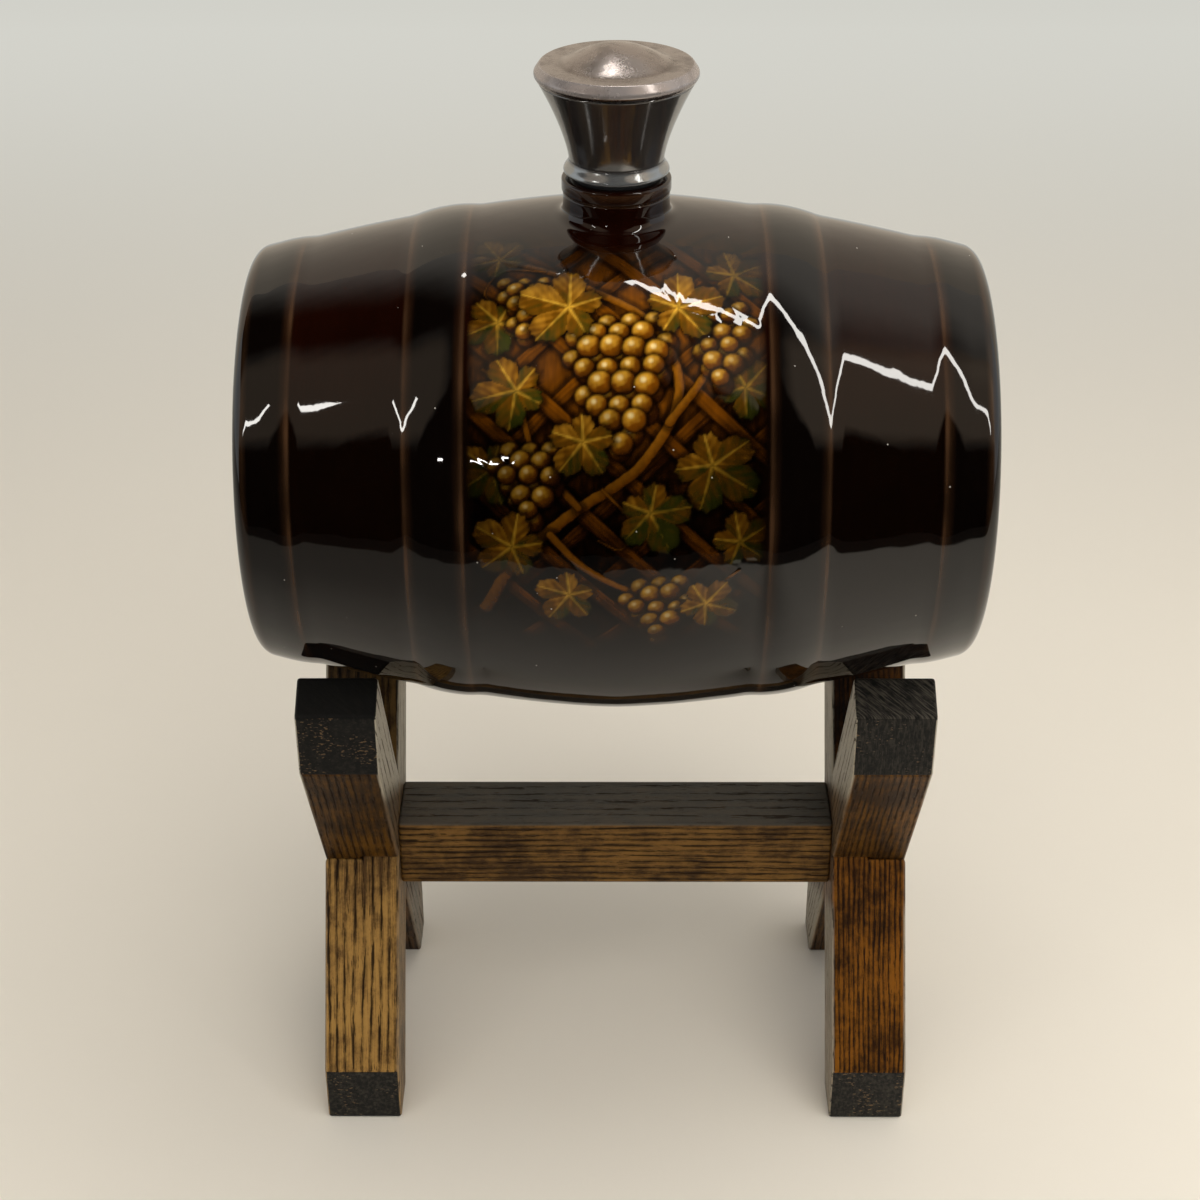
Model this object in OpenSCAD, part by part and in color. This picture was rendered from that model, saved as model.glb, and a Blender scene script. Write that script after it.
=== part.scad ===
// Ceramic spirit barrel with a metal-topped cork stopper, lying on an oak cross-leg stand.
// X runs along the barrel, -Y is the front, Z is up, and Z = 0 is the surface under the feet.

/* [Barrel] */
// Length of the barrel over its two heads
barrel_length = 165; // [150:1:180]
// Diameter of the plain wall at the middle of the barrel
belly_d = 120; // [114:1:126]
// Diameter of the plain wall at the two heads
end_d = 93; // [88:1:98]
// Fullness of the bulge: 2 is a parabola, less runs straighter towards the heads
bulge = 1.62; // [1.5:0.02:2]
// Thickness of the fired wall
wall = 5; // [4:0.5:6]
// Rounding between the side and the heads
edge_r = 4; // [3:0.5:5]
// Depth of the shallow dish in each head
head_dish = 1.5; // [0.5:0.5:2.5]
// Width of the flat rim round the dish
head_rim_w = 6; // [4:0.5:9]

/* [Hoops] */
// How far a hoop stands out from the plain wall
hoop_rise = 0.8; // [0.4:0.1:1.2]
// Width of the hoop at each head
end_hoop_w = 12.5; // [10:0.5:15]
// Width of each inner hoop
inner_hoop_w = 12.5; // [10:0.5:15]
// Distance from the middle of the barrel to the near edge of an inner hoop
inner_hoop_x = 32.5; // [28:0.5:36]
// Length of the rounded roll inside each edge of a hoop
hoop_roll = 6; // [4:0.5:8]
// Length of the hollow skirt outside each edge of a hoop
hoop_skirt = 3; // [2:0.25:4]

/* [Neck] */
// Height of the lip above the top of the barrel
neck_rise = 7.6; // [6.5:0.1:10]
// Diameter of the upper band, which forms the lip
lip_d = 24.2; // [23:0.2:26]
// Height of the upper band
lip_h = 3.2; // [2.5:0.1:4]
// Diameter of the lower band
collar_d = 23.6; // [22.6:0.2:25]
// Height of the lower band
collar_h = 2.6; // [2:0.1:3.5]
// Depth of the groove between the two bands
neck_groove = 0.5; // [0.3:0.1:0.8]
// Radius of the blend between the neck and the barrel
neck_blend_r = 5; // [4:0.5:7]
// Bore of the neck
bore_d = 17; // [15:0.5:18]
// Rounding of the outer edge of the lip
lip_round = 0.7; // [0.4:0.1:1]

/* [Stopper] */
// Greatest diameter of the cap, at its rim
rim_d = 35.6; // [33:0.2:38]
// Height of the rim under its widest band
rim_under = 1; // [0.8:0.1:1.4]
// Height of the rim from the foot of its widest band to the face of the cap
bevel_h = 2.5; // [2:0.1:3]
// Width of the bevel, seen from above
bevel_w = 1.2; // [0.8:0.1:2]
// Height of the upright band at the widest line of the rim
rim_land = 0.8; // [0.7:0.1:1.2]
// Rounding of the edges of the rim
rim_round = 0.3; // [0.2:0.05:0.35]
// Diameter of the dome at its hollow foot
dome_d = 25.2; // [22:0.2:27]
// Height of the dome
dome_h = 4; // [3:0.1:5]
// Shape of the dome: 1 is a parabola, more gives it a longer hollow foot
dome_power = 1.35; // [1.1:0.05:1.8]
// Thickness of the sheet metal
sheet = 1.1; // [0.8:0.1:1.4]
// Height of the flared body
flare_h = 17.4; // [15:0.2:20]
// Diameter of the flared body at its waist
waist_d = 20.9; // [20.4:0.1:21.6]
// Overhang of the rim beyond the top of the flared body
rim_overhang = 0.7; // [0.5:0.1:1]
// Curve of the flare: 1 is a straight cone, more is more trumpet-like
flare_power = 1.4; // [1.2:0.05:1.8]
// Diameter of the bead ring under the flare
bead_d = 23.3; // [22.6:0.1:24]
// Height of the bead ring with its foot
bead_h = 4.1; // [3.6:0.1:5]
// Share of the bead's height over its foot at which it is widest
bead_peak = 0.2; // [0.12:0.02:0.4]
// Diameter of the foot that holds the bead ring off the lip
bead_foot_d = 19.8; // [19:0.1:20.4]
// Height of that foot
bead_foot_h = 1; // [0.6:0.1:1.4]
// Thickness of the plate inside the bead ring
base_plate = 1.6; // [1.4:0.1:2]

/* [Cork] */
// Gap between the cork and the bore, all round
cork_gap = 0.3; // [0.2:0.05:0.5]
// Length of the cork
cork_length = 20; // [16:1:24]
// How much smaller the foot of the cork is than its top
cork_taper = 1; // [0.5:0.1:1.6]
// Rounding of the foot of the cork
cork_round = 0.9; // [0.5:0.1:1.4]
// Diameter of the stem through the cork
stem_d = 4; // [3:0.2:5]
// Diameter of the head of the stem
stem_head_d = 8; // [7:0.5:9]
// Height of the head of the stem
stem_head_h = 2; // [1.5:0.5:3]
// Gap round the stem in its holes
stem_gap = 0.15; // [0.1:0.05:0.25]
// Diameter of the washer under the cork
washer_d = 11; // [9.5:0.5:12]
// Thickness of the washer
washer_t = 1; // [0.8:0.1:1.5]
// Diameter of the nut under the washer
nut_d = 7; // [6.5:0.5:8]
// Height of the nut
nut_h = 2.4; // [2:0.2:3]

/* [Stand] */
// Side of the square oak stock
stock = 19; // [17:0.5:21]
// Lean of the bars from upright, in degrees
lean = 31.5; // [28:0.5:34]
// Height of the crossing of the bars
cross_height = 62.7; // [56:0.1:70]
// Length of an arm, from the crossing to its square-cut end
arm_reach = 73.2; // [66:0.1:80]
// Width of the corner that is cut off upright at the end of an arm
arm_nose = 8.6; // [6:0.2:11]
// Height of the upright cut at the front of a foot
foot_toe = 16; // [12:0.5:20]
// How far the barrel stands out past each trestle
end_overhang = 8; // [4:0.5:12]
// Diameter of the dowels in the crossings
dowel_d = 8; // [6:0.5:10]
// Length of a dowel
dowel_length = 28; // [22:1:34]
// Gap round a dowel in its holes
dowel_gap = 0.1; // [0.05:0.05:0.2]
// Gap between the barrel and the tips of the arms
seat_gap = 0.25; // [0.2:0.05:0.5]

/* [Hidden] */
$fn = 96;

// Colours as the object shows them
glaze = "#2c130b";
silver_plate = "#a89ea0";
dark_silver = "#3f3a3b";
cork_tan = "#b98b5c";
brass = "#b08a4a";
oak = "#7a5530";
oak_rail = "#5a4128";
dowel_wood = "#b89468";

// Overlap that carries a cut clean through a face
cut_through = 1;
// Segments along each stretch of a formula curve, on the roll of a hoop and round an edge
curve_steps = 10;
roll_steps = 6;
edge_steps = 4;

// Places along half of the barrel
half_length = barrel_length / 2;
inner_hoop_end = inner_hoop_x + inner_hoop_w;
end_hoop_x = half_length - end_hoop_w;
edge_x = half_length - edge_r;

// Share of a hoop's rise that its skirt climbs, so that skirt and roll meet at one slope
skirt_share = hoop_skirt / (hoop_skirt + hoop_roll);

// Distance from the middle of the stand to the inner face of a trestle
trestle_inner = half_length - end_overhang - stock;

// The arm tips that carry the barrel
arm_tip_y = arm_reach * sin(lean) - stock / 2 * cos(lean);
arm_tip_z = cross_height + arm_reach * cos(lean) + stock / 2 * sin(lean);
arm_widths = [for (i = [0 : curve_steps]) trestle_inner + stock * i / curve_steps];
seat_r = max([for (x = arm_widths) outer_r(x)]) + seat_gap;
barrel_z = arm_tip_z + sqrt(seat_r * seat_r - arm_tip_y * arm_tip_y);

// Levels of the neck and the stopper
neck_base_z = barrel_z + belly_d / 2;
neck_top_z = neck_base_z + neck_rise;
flare_z = neck_top_z + bead_h;
cap_z = flare_z + flare_h;
cork_z = neck_top_z - cork_length;
plate_z = neck_top_z + base_plate;
washer_z = cork_z - washer_t;
nut_z = washer_z - nut_h;

// Evenly spaced values from a up to, but not including, b
function steps(a, b, n) = [for (i = [0 : n - 1]) a + (b - a) * i / n];

// A soft step from 0 to 1 as t runs from 0 to 1
function soft(t) = let (c = min(max(t, 0), 1)) c * c * (3 - 2 * c);

// Points of a soft corner at b on the way from a to c, which starts a distance d before b
function soft_corner(a, b, c, d) =
    let (start = b + d * (a - b) / norm(a - b), end = b + d * (c - b) / norm(c - b))
    [for (t = [0 : 1 / edge_steps : 1]) start * pow(1 - t, 2) + 2 * b * t * (1 - t) + end * t * t];

// Radius of the plain wall at distance x from the middle of the barrel
function wall_r(x) =
    end_d / 2 + (belly_d - end_d) / 2 * (1 - pow(abs(x) / half_length, bulge));

// Rise of a hoop that runs from a to b, as a share: a roll between its edges, a skirt outside them
function hoop(x, a, b) =
    let (inside = min(x - a, b - x))
    inside > 0
        ? 1 - (1 - skirt_share) * pow(1 - min(inside / hoop_roll, 1), 2)
        : skirt_share * pow(max(1 + inside / hoop_skirt, 0), 2);

// Radius of the outside with its hoops
function outer_r(x) =
    let (d = abs(x))
    wall_r(d) + hoop_rise * max(
        hoop(d, inner_hoop_x, inner_hoop_end),
        hoop(d, end_hoop_x, half_length + hoop_roll)
    );

// Round edge of a head, which starts at the slope of the side and ends on the face
edge_turn = atan(bulge * (belly_d - end_d) / barrel_length);
edge_start = edge_x + edge_r * sin(edge_turn);
edge_centre_r = outer_r(edge_start) - edge_r * cos(edge_turn);
edge_arc = [
    for (t = [0 : 1 / edge_steps : 1])
        let (a = edge_turn + (90 - edge_turn) * t)
        [edge_centre_r + edge_r * cos(a), edge_x + edge_r * sin(a)]
];

// Stations along half of the outside, closer together on the hoops and their skirts
inner_hoop_middle = inner_hoop_x + inner_hoop_w / 2;
side_stations = concat(
    steps(0, inner_hoop_x - hoop_skirt, curve_steps),
    steps(inner_hoop_x - hoop_skirt, inner_hoop_x, edge_steps),
    steps(inner_hoop_x, inner_hoop_middle, roll_steps),
    steps(inner_hoop_middle, inner_hoop_end, roll_steps),
    steps(inner_hoop_end, inner_hoop_end + hoop_skirt, edge_steps),
    steps(inner_hoop_end + hoop_skirt, end_hoop_x - hoop_skirt, curve_steps),
    steps(end_hoop_x - hoop_skirt, end_hoop_x, edge_steps),
    steps(end_hoop_x, edge_start, roll_steps)
);

// Edge of the dish in a head
dish_r = edge_centre_r - head_rim_w;

// Half of the outline as [radius, distance], from the belly to the middle of a head
half_outline = concat(
    [for (x = side_stations) [outer_r(x), x]],
    edge_arc,
    [for (t = [0 : 1 / edge_steps : 1])
        [dish_r + (1 - t) * head_dish * 2, half_length - head_dish * soft(t)]],
    [[0, half_length - head_dish]]
);

// Half of the hollow inside the wall
hollow_end = half_length - head_dish - wall;
half_hollow = concat(
    [for (x = steps(0, hollow_end, curve_steps)) [wall_r(x) - wall, x]],
    [[wall_r(hollow_end) - wall, hollow_end], [0, hollow_end]]
);

// A solid turned about the axis of the barrel from half of its outline, the same on both sides
module turned_barrel(half) {
    for (side = [0, 1])
        mirror([side, 0, 0])
            rotate([0, 90, 0])
                rotate_extrude()
                    polygon(concat([[0, 0]], half));
}

// The neck outside: blend, lower band, groove and lip, as [radius, height over the barrel top]
collar_top = neck_rise - lip_h;
collar_bottom = collar_top - collar_h;
blend_r = collar_d / 2;
blend_arc = [
    for (a = [0 : 10 : 60])
        [blend_r + neck_blend_r * (1 - cos(a)), collar_bottom - neck_blend_r * sin(a)]
];
blend_foot = blend_arc[len(blend_arc) - 1];

module neck_outside() {
    lip_middle = [0, neck_rise];
    lip_edge = [lip_d / 2, neck_rise];
    lip_foot = [lip_d / 2, collar_top + neck_groove];
    rotate_extrude()
        polygon(concat(
            [lip_middle],
            soft_corner(lip_middle, lip_edge, lip_foot, lip_round),
            [lip_foot, [collar_d / 2 - neck_groove, collar_top], [collar_d / 2, collar_top - neck_groove]],
            blend_arc,
            [[blend_foot[0], -wall], [0, -wall]]
        ));
}

module barrel() {
    color(glaze)
        difference() {
            union() {
                translate([0, 0, barrel_z]) turned_barrel(half_outline);
                translate([0, 0, neck_base_z]) neck_outside();
            }
            translate([0, 0, barrel_z]) turned_barrel(half_hollow);
            translate([0, 0, barrel_z]) cylinder(d = bore_d, h = belly_d);
        }
}

// Radius of the flared body at height h over its waist
flare_top_r = rim_d / 2 - rim_overhang;
function flare_r(h) =
    waist_d / 2 + (flare_top_r - waist_d / 2) * pow(max(h, 0) / flare_h, flare_power);

flare_heights = concat(steps(0, flare_h, curve_steps), [flare_h]);

// Dome of the cap over its face, from its hollow foot to its middle
function dome_points(face_h) = [
    for (t = [curve_steps : -1 : 0])
        let (share = t / curve_steps)
        [dome_d / 2 * share, face_h + dome_h * pow(1 - share * share, dome_power)]
];

module stopper_cap() {
    face_h = rim_under + bevel_h;
    inside_r = dome_d / 2 - sheet;
    rim_foot = [flare_top_r, 0];
    rim_low = [rim_d / 2, rim_under];
    rim_high = [rim_d / 2, rim_under + rim_land];
    crease = [rim_d / 2 - bevel_w, face_h];
    dome_foot = [dome_d / 2, face_h];
    color(silver_plate)
        translate([0, 0, cap_z])
            difference() {
                rotate_extrude()
                    polygon(concat(
                        [[0, 0], rim_foot],
                        soft_corner(rim_foot, rim_low, rim_high, rim_round),
                        soft_corner(rim_low, rim_high, crease, rim_round),
                        soft_corner(rim_high, crease, dome_foot, rim_round),
                        dome_points(face_h)
                    ));
                translate([0, 0, -cut_through])
                    cylinder(r = inside_r, h = cut_through + face_h - sheet);
            }
}

module stopper_flare() {
    color(dark_silver)
        translate([0, 0, flare_z])
            rotate_extrude()
                polygon(concat(
                    [for (h = flare_heights) [flare_r(h), h]],
                    [for (i = [len(flare_heights) - 1 : -1 : 0])
                        [flare_r(flare_heights[i]) - sheet, flare_heights[i]]]
                ));
}

// Swell of the bead as a share, at a share t of its height: round below its peak, an S-curve above
function bead_swell(t) =
    t < bead_peak ? sqrt(1 - pow(1 - t / bead_peak, 2)) : 1 - soft((t - bead_peak) / (1 - bead_peak));

module stopper_base() {
    waist_r = waist_d / 2;
    bead_bulge = bead_d / 2 - waist_r;
    ring_h = bead_h - bead_foot_h;
    bead_shares = concat(steps(0, bead_peak, roll_steps), steps(bead_peak, 1, curve_steps), [1]);
    color(silver_plate)
        translate([0, 0, neck_top_z])
            difference() {
                rotate_extrude()
                    polygon(concat(
                        [[0, 0], [bead_foot_d / 2, 0], [bead_foot_d / 2, bead_foot_h]],
                        [for (t = bead_shares) [waist_r + bead_bulge * bead_swell(t), bead_foot_h + ring_h * t]],
                        [[0, bead_h]]
                    ));
                translate([0, 0, base_plate]) cylinder(r = waist_r - sheet, h = bead_h);
                translate([0, 0, -cut_through])
                    cylinder(d = stem_d + 2 * stem_gap, h = base_plate + 2 * cut_through);
            }
}

module cork() {
    foot_middle = [0, 0];
    top_edge = [bore_d / 2 - cork_gap, cork_length];
    foot_edge = [top_edge[0] - cork_taper / 2, 0];
    color(cork_tan)
        translate([0, 0, cork_z])
            difference() {
                rotate_extrude()
                    polygon(concat(
                        [foot_middle],
                        soft_corner(foot_middle, foot_edge, top_edge, cork_round),
                        [top_edge, [0, cork_length]]
                    ));
                translate([0, 0, -cut_through])
                    cylinder(d = stem_d + 2 * stem_gap, h = cork_length + 2 * cut_through);
            }
}

module cork_stem() {
    color(brass)
        union() {
            translate([0, 0, nut_z]) cylinder(d = stem_d, h = plate_z - nut_z + stem_head_h);
            translate([0, 0, plate_z]) cylinder(d = stem_head_d, h = stem_head_h);
        }
}

module cork_washer() {
    color(brass)
        translate([0, 0, washer_z])
            difference() {
                cylinder(d = washer_d, h = washer_t);
                translate([0, 0, -cut_through])
                    cylinder(d = stem_d + 2 * stem_gap, h = washer_t + 2 * cut_through);
            }
}

module stem_nut() {
    color(brass)
        translate([0, 0, nut_z])
            difference() {
                cylinder(d = nut_d, h = nut_h, $fn = 6);
                translate([0, 0, -cut_through])
                    cylinder(d = stem_d + 2 * stem_gap, h = nut_h + 2 * cut_through);
            }
}

// Outline of a bar with its foot at the front, as [Y, Z]
// The foot stands flat and its toe is cut upright; the arm end is cut square and its nose upright
foot_front_y = -(stock / 2 + (cross_height - foot_toe) * sin(lean)) / cos(lean);
foot_back_y = (stock / 2 - cross_height * sin(lean)) / cos(lean);
nose_y = arm_reach * sin(lean) + (stock / 2 - arm_nose) * cos(lean);
nose_top_z = cross_height + arm_reach * cos(lean) - (stock / 2 - arm_nose) * sin(lean);
nose_low_z = cross_height + (nose_y * cos(lean) - stock / 2) / sin(lean);

bar_outline = [
    [foot_front_y, 0],
    [foot_back_y, 0],
    [nose_y, nose_low_z],
    [nose_y, nose_top_z],
    [arm_tip_y, arm_tip_z],
    [foot_front_y, foot_toe]
];

// A slab of the bar's outline, from depth x0 to depth x1 outside the inner face of the trestle
// foot is -1 for a foot at the front and 1 for a foot at the back
module bar_slab(foot, x0, x1) {
    translate([trestle_inner + x0, 0, 0])
        mirror([0, foot > 0 ? 1 : 0, 0])
            rotate([90, 0, 90])
                linear_extrude(height = x1 - x0)
                    polygon(bar_outline);
}

dowel_inner_x = trestle_inner - dowel_length / 2;

module dowel_bore() {
    translate([dowel_inner_x, 0, cross_height])
        rotate([0, 90, 0])
            cylinder(d = dowel_d + 2 * dowel_gap, h = dowel_length);
}

// One bar of the right-hand trestle, halved where it crosses the other
module trestle_bar(foot) {
    lap_x0 = foot < 0 ? stock / 2 : -cut_through;
    lap_x1 = foot < 0 ? stock + cut_through : stock / 2;
    color(oak)
        difference() {
            bar_slab(foot, 0, stock);
            bar_slab(-foot, lap_x0, lap_x1);
            dowel_bore();
        }
}

module left_leg_front_foot() { mirror([1, 0, 0]) trestle_bar(-1); }
module left_leg_back_foot() { mirror([1, 0, 0]) trestle_bar(1); }
module right_leg_front_foot() { trestle_bar(-1); }
module right_leg_back_foot() { trestle_bar(1); }

module stretcher() {
    color(oak_rail)
        difference() {
            translate([-trestle_inner, -stock / 2, cross_height - stock / 2])
                cube([2 * trestle_inner, stock, stock]);
            dowel_bore();
            mirror([1, 0, 0]) dowel_bore();
        }
}

module dowel() {
    color(dowel_wood)
        translate([dowel_inner_x, 0, cross_height])
            rotate([0, 90, 0])
                cylinder(d = dowel_d, h = dowel_length);
}

module left_dowel() { mirror([1, 0, 0]) dowel(); }
module right_dowel() { dowel(); }

barrel();
stopper_cap();
stopper_flare();
stopper_base();
cork();
cork_stem();
cork_washer();
stem_nut();
left_leg_front_foot();
left_leg_back_foot();
right_leg_front_foot();
right_leg_back_foot();
stretcher();
left_dowel();
right_dowel();
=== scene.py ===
"""Looks of a ceramic spirit barrel with a plated cork stopper, lying on an oak cross-leg stand."""

import math
from typing import NamedTuple

import bmesh
import bpy
import numpy as np
from bpy.props import FloatProperty, FloatVectorProperty, PointerProperty
from bpy.types import Operator, Panel, PropertyGroup
from mathutils import Matrix, Vector


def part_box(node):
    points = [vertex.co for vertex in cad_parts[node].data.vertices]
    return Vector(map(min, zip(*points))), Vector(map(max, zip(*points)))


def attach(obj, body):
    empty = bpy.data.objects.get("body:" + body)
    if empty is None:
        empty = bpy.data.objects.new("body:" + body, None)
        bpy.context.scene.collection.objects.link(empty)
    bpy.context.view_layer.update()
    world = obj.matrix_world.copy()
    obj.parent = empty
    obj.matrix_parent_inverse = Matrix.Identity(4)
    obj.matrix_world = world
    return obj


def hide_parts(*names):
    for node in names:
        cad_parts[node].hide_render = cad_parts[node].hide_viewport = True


bl_info = {
    "name": "Spirit Barrel on an Oak Stand",
    "version": (1, 0, 0),
    "blender": (4, 5, 0),
    "location": "View3D > Sidebar > Barrel",
    "description": "Builds the glazed barrel, its stopper, its stand and the stage around the packed frame",
    "category": "Object",
}

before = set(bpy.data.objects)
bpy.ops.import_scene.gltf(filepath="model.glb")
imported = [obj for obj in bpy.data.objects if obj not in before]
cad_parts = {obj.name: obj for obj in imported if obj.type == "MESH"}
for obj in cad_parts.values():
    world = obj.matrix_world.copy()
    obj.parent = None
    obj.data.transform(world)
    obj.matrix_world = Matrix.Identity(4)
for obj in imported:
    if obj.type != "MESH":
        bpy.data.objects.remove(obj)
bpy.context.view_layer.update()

MM = 0.001


def box_mm(node):
    """Lowest and highest corner of a CAD node, in millimetres."""
    return [np.array(corner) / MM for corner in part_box(node)]


# Sizes that the frame gives, in millimetres
barrel_low, barrel_high = box_mm("barrel")
HALF_LENGTH = barrel_high[0]
BELLY_R = barrel_high[1]
AXIS_Z = barrel_low[2] + BELLY_R
LIP_Z = barrel_high[2]
cap_low, cap_high = box_mm("stopper_cap")
flare_low, flare_high = box_mm("stopper_flare")
base_low, base_high = box_mm("stopper_base")
cork_low, cork_high = box_mm("cork")
rail_low, rail_high = box_mm("stretcher")
STOCK = rail_high[2] - rail_low[2]
CROSS_Z = (rail_high[2] + rail_low[2]) / 2
TRESTLE_X = rail_high[0] + STOCK / 2

# The turned barrel, in millimetres
END_R = 46.5
BULGE = 1.62
WALL = 5.0
EDGE_R = 4.0
EDGE_TURN = math.atan(BULGE * (BELLY_R - END_R) / HALF_LENGTH)
HEAD_RIM = 6.0
HEAD_DISH = 1.5
INNER_HOOP = (32.5, 45.0)
END_HOOP = (70.0, 95.0)
HOOP_ROLL = 6.0
HOOP_SKIRT = 3.0
THIN_LINE = 1.0
THIN_FADE = 2.4

# The barrel's mesh: steps along it in millimetres, and steps of its turn up from the front in degrees,
# which are fine from low to high
PANEL_STEP = 0.3
EDGE_STEP = 0.25
HOOP_STEP = 0.6
PLAIN_STEP = 1.2
FINE_LOW = -20
FINE_HIGH = 112
FINE_TURN = 0.3
COARSE_TURN = 1.5
EDGE_STEPS = 13
DISH_STEPS = 9
HEAD_RINGS = np.array([0.85, 0.6, 0.35, 0.15])
BLEND_STEPS = 14
INSIDE_SIDES = 96
INSIDE_FINE_X = 16.0
INSIDE_FINE_STEP = 1.0
INSIDE_STEP = 3.0
INSIDE_RINGS = np.array([0.75, 0.5, 0.25])

# The neck, in millimetres
LIP_R = 12.1
LIP_H = 3.2
COLLAR_R = 11.8
COLLAR_H = 2.6
GROOVE = 0.5
BORE_R = 8.5
BLEND_FOOT_R = 15.6
FOOT_PULL = 0.6
COLLAR_PULL = 0.75

# The moulded panel: half its width, and its ends along the front, measured up from the level of the axis
PANEL_HALF = 32.0
PANEL_LOW = -19.0
PANEL_HIGH = 88.0
NECK_CLEAR = 18.5

# The stopper, in millimetres
BEVEL_W = 1.2
RIM_UNDER = 1.0
RIM_LAND = 0.8
BEVEL_H = 2.5
DOME_FOOT_R = 12.6
DOME_H = 4.0
DOME_POWER = 1.35
SHEET = 1.1
WAIST_R = 10.45
FLARE_TOP_R = 17.1
FLARE_POWER = 1.4
BEAD_PEAK = 0.2
BEAD_FOOT_R = 9.9
BEAD_FOOT_H = 1.0
STEM_HOLE_R = 2.15
CORK_TAPER = 0.5
TURNED_SIDES = 144
DOME_STEPS = 36
FLARE_STEPS = 40
ON_AXIS = 1e-6

# The stand: lean of the bars, how far from the crossing their ends begin, what counts as an edge, a cut and
# an end, grain of the rail, the grey and painted sheen and light of the high cheeks, and wear
LEAN = math.radians(31.5)
LAP_REACH = 30.0
WELD = 1e-6
FLAT = math.radians(1)
SHARP = math.radians(15)
LONG_EDGE = 5.0
CUT_FACING = 0.4
END_FACING = 0.7
RAIL_SPACING = 1.5
DOWEL_SEED = 11
HIGH_GREY_AND_SHEEN = 0.95
END_CHIPS = 0.03
TOE_WEAR = 0.65
NOSE_WEAR = 0.25
SAW_SLANT = math.radians(38)
WOOD_DEPTH = 0.2

# Linear colours of small things
BLACK = (0.0, 0.0, 0.0)
SPECK = (0.62, 0.58, 0.52)
CLAY_DARK = (0.22, 0.16, 0.11)
CLAY_LIGHT = (0.34, 0.27, 0.19)

# The stage, in metres: its long narrow lights, the flats of its cove, and tints and strengths of light
STRIP_W = 0.014
STRIP_Z = 0.5
STRIP_TINT = (1.0, 0.97, 0.92)
FLAT_X = 0.42
FLAT_TINT = (1.0, 0.78, 0.58)
TOP_TINT = (1.0, 0.93, 0.82)
COVE_FLOOR = 0.004
WARM_TINT = (1.27, 1.10, 0.95)
SKY_TINT = (0.93, 0.95, 0.96)
SEEN_SKY = 0.8

# The camera of the photograph, whose frame is taken as 1200 by 1200
FRAME_PX = 1200
FOCAL_PX = 2172.65
SENSOR_MM = 36.0


def linear(code):
    """Linear red, green and blue of a colour written as six hex digits."""
    parts = [int(code[i:i + 2], 16) / 255 for i in (0, 2, 4)]
    return tuple(c / 12.92 if c <= 0.04045 else ((c + 0.055) / 1.055) ** 2.4 for c in parts)


def colour_property(name, description, code):
    """A colour that a user may change."""
    return FloatVectorProperty(
        name=name, description=description, subtype="COLOR", size=3, min=0, max=1, default=linear(code)
    )


def length_property(name, description, millimetres):
    """A length that a user may change."""
    return FloatProperty(
        name=name, description=description, unit="LENGTH", precision=5, default=millimetres * MM
    )


def power_property(name, description, watts):
    """The power of a light that a user may change."""
    return FloatProperty(name=name, description=description, unit="POWER", default=watts)


def angle_property(name, description, degrees):
    """An angle that a user may change."""
    return FloatProperty(name=name, description=description, subtype="ANGLE", default=math.radians(degrees))


class BarrelLook(PropertyGroup):
    """Sizes and colours of the glazed barrel."""

    hoop_rise: length_property("Hoop rise", "How far a hoop stands out from the wall", 0.8)
    relief: length_property("Relief", "Greatest height of the moulded panel", 0.08)
    ripple: length_property("Ripple", "Height of the slow waves in the fired glaze", 0.012)
    glaze: colour_property("Glaze", "Treacle-brown glaze where it is thick", "090301")
    # high_glaze: the glaze gets lighter and redder towards the top of the barrel
    high_glaze: colour_property(
        "High glaze", "Glaze of the upper half, lighter and redder than below", "140401"
    )
    hoop_glaze: colour_property("Hoop glaze", "Darker glaze on the hoops", "060302")
    thin_glaze: colour_property("Thin glaze", "Glaze where it runs thin over an edge", "46301f")
    # shade: painted shade, in the outlines and hollows of the panel and as shadows round its motifs
    shade: colour_property("Shade", "Dark outlines and hollows of the panel", "050201")
    ground: colour_property("Ground", "Brown ground of the panel", "2a1203")
    amber: colour_property("Amber", "Middle amber of the panel", "8a4d06")
    gold: colour_property("Gold", "Lighter gold of the panel", "e4b038")
    cream: colour_property("Cream", "Lightest touches of the panel", "f0dca0")
    olive: colour_property("Olive", "Green of the leaves", "33340a")
    gloss: FloatProperty(
        name="Glaze roughness", description="Roughness of the glaze", default=0.03, min=0, max=1
    )


class StopperLook(PropertyGroup):
    """Colours of the stopper."""

    plate: colour_property("Plate", "Worn silver plate of the cap", "a09895")
    bead: colour_property("Bead", "Plate of the bead ring", "9b9e9f")
    flare: colour_property("Flare", "Darker polished plate of the flared body", "808080")
    tarnish: colour_property("Tarnish", "Brown tarnish in the creases", "38291d")
    cork: colour_property("Cork", "Body of the cork", "b98b5c")
    cork_pit: colour_property("Cork pits", "Dark pits of the cork", "5d3a20")
    brass: colour_property("Brass", "Stem, washer and nut", "b08a4a")


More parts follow.
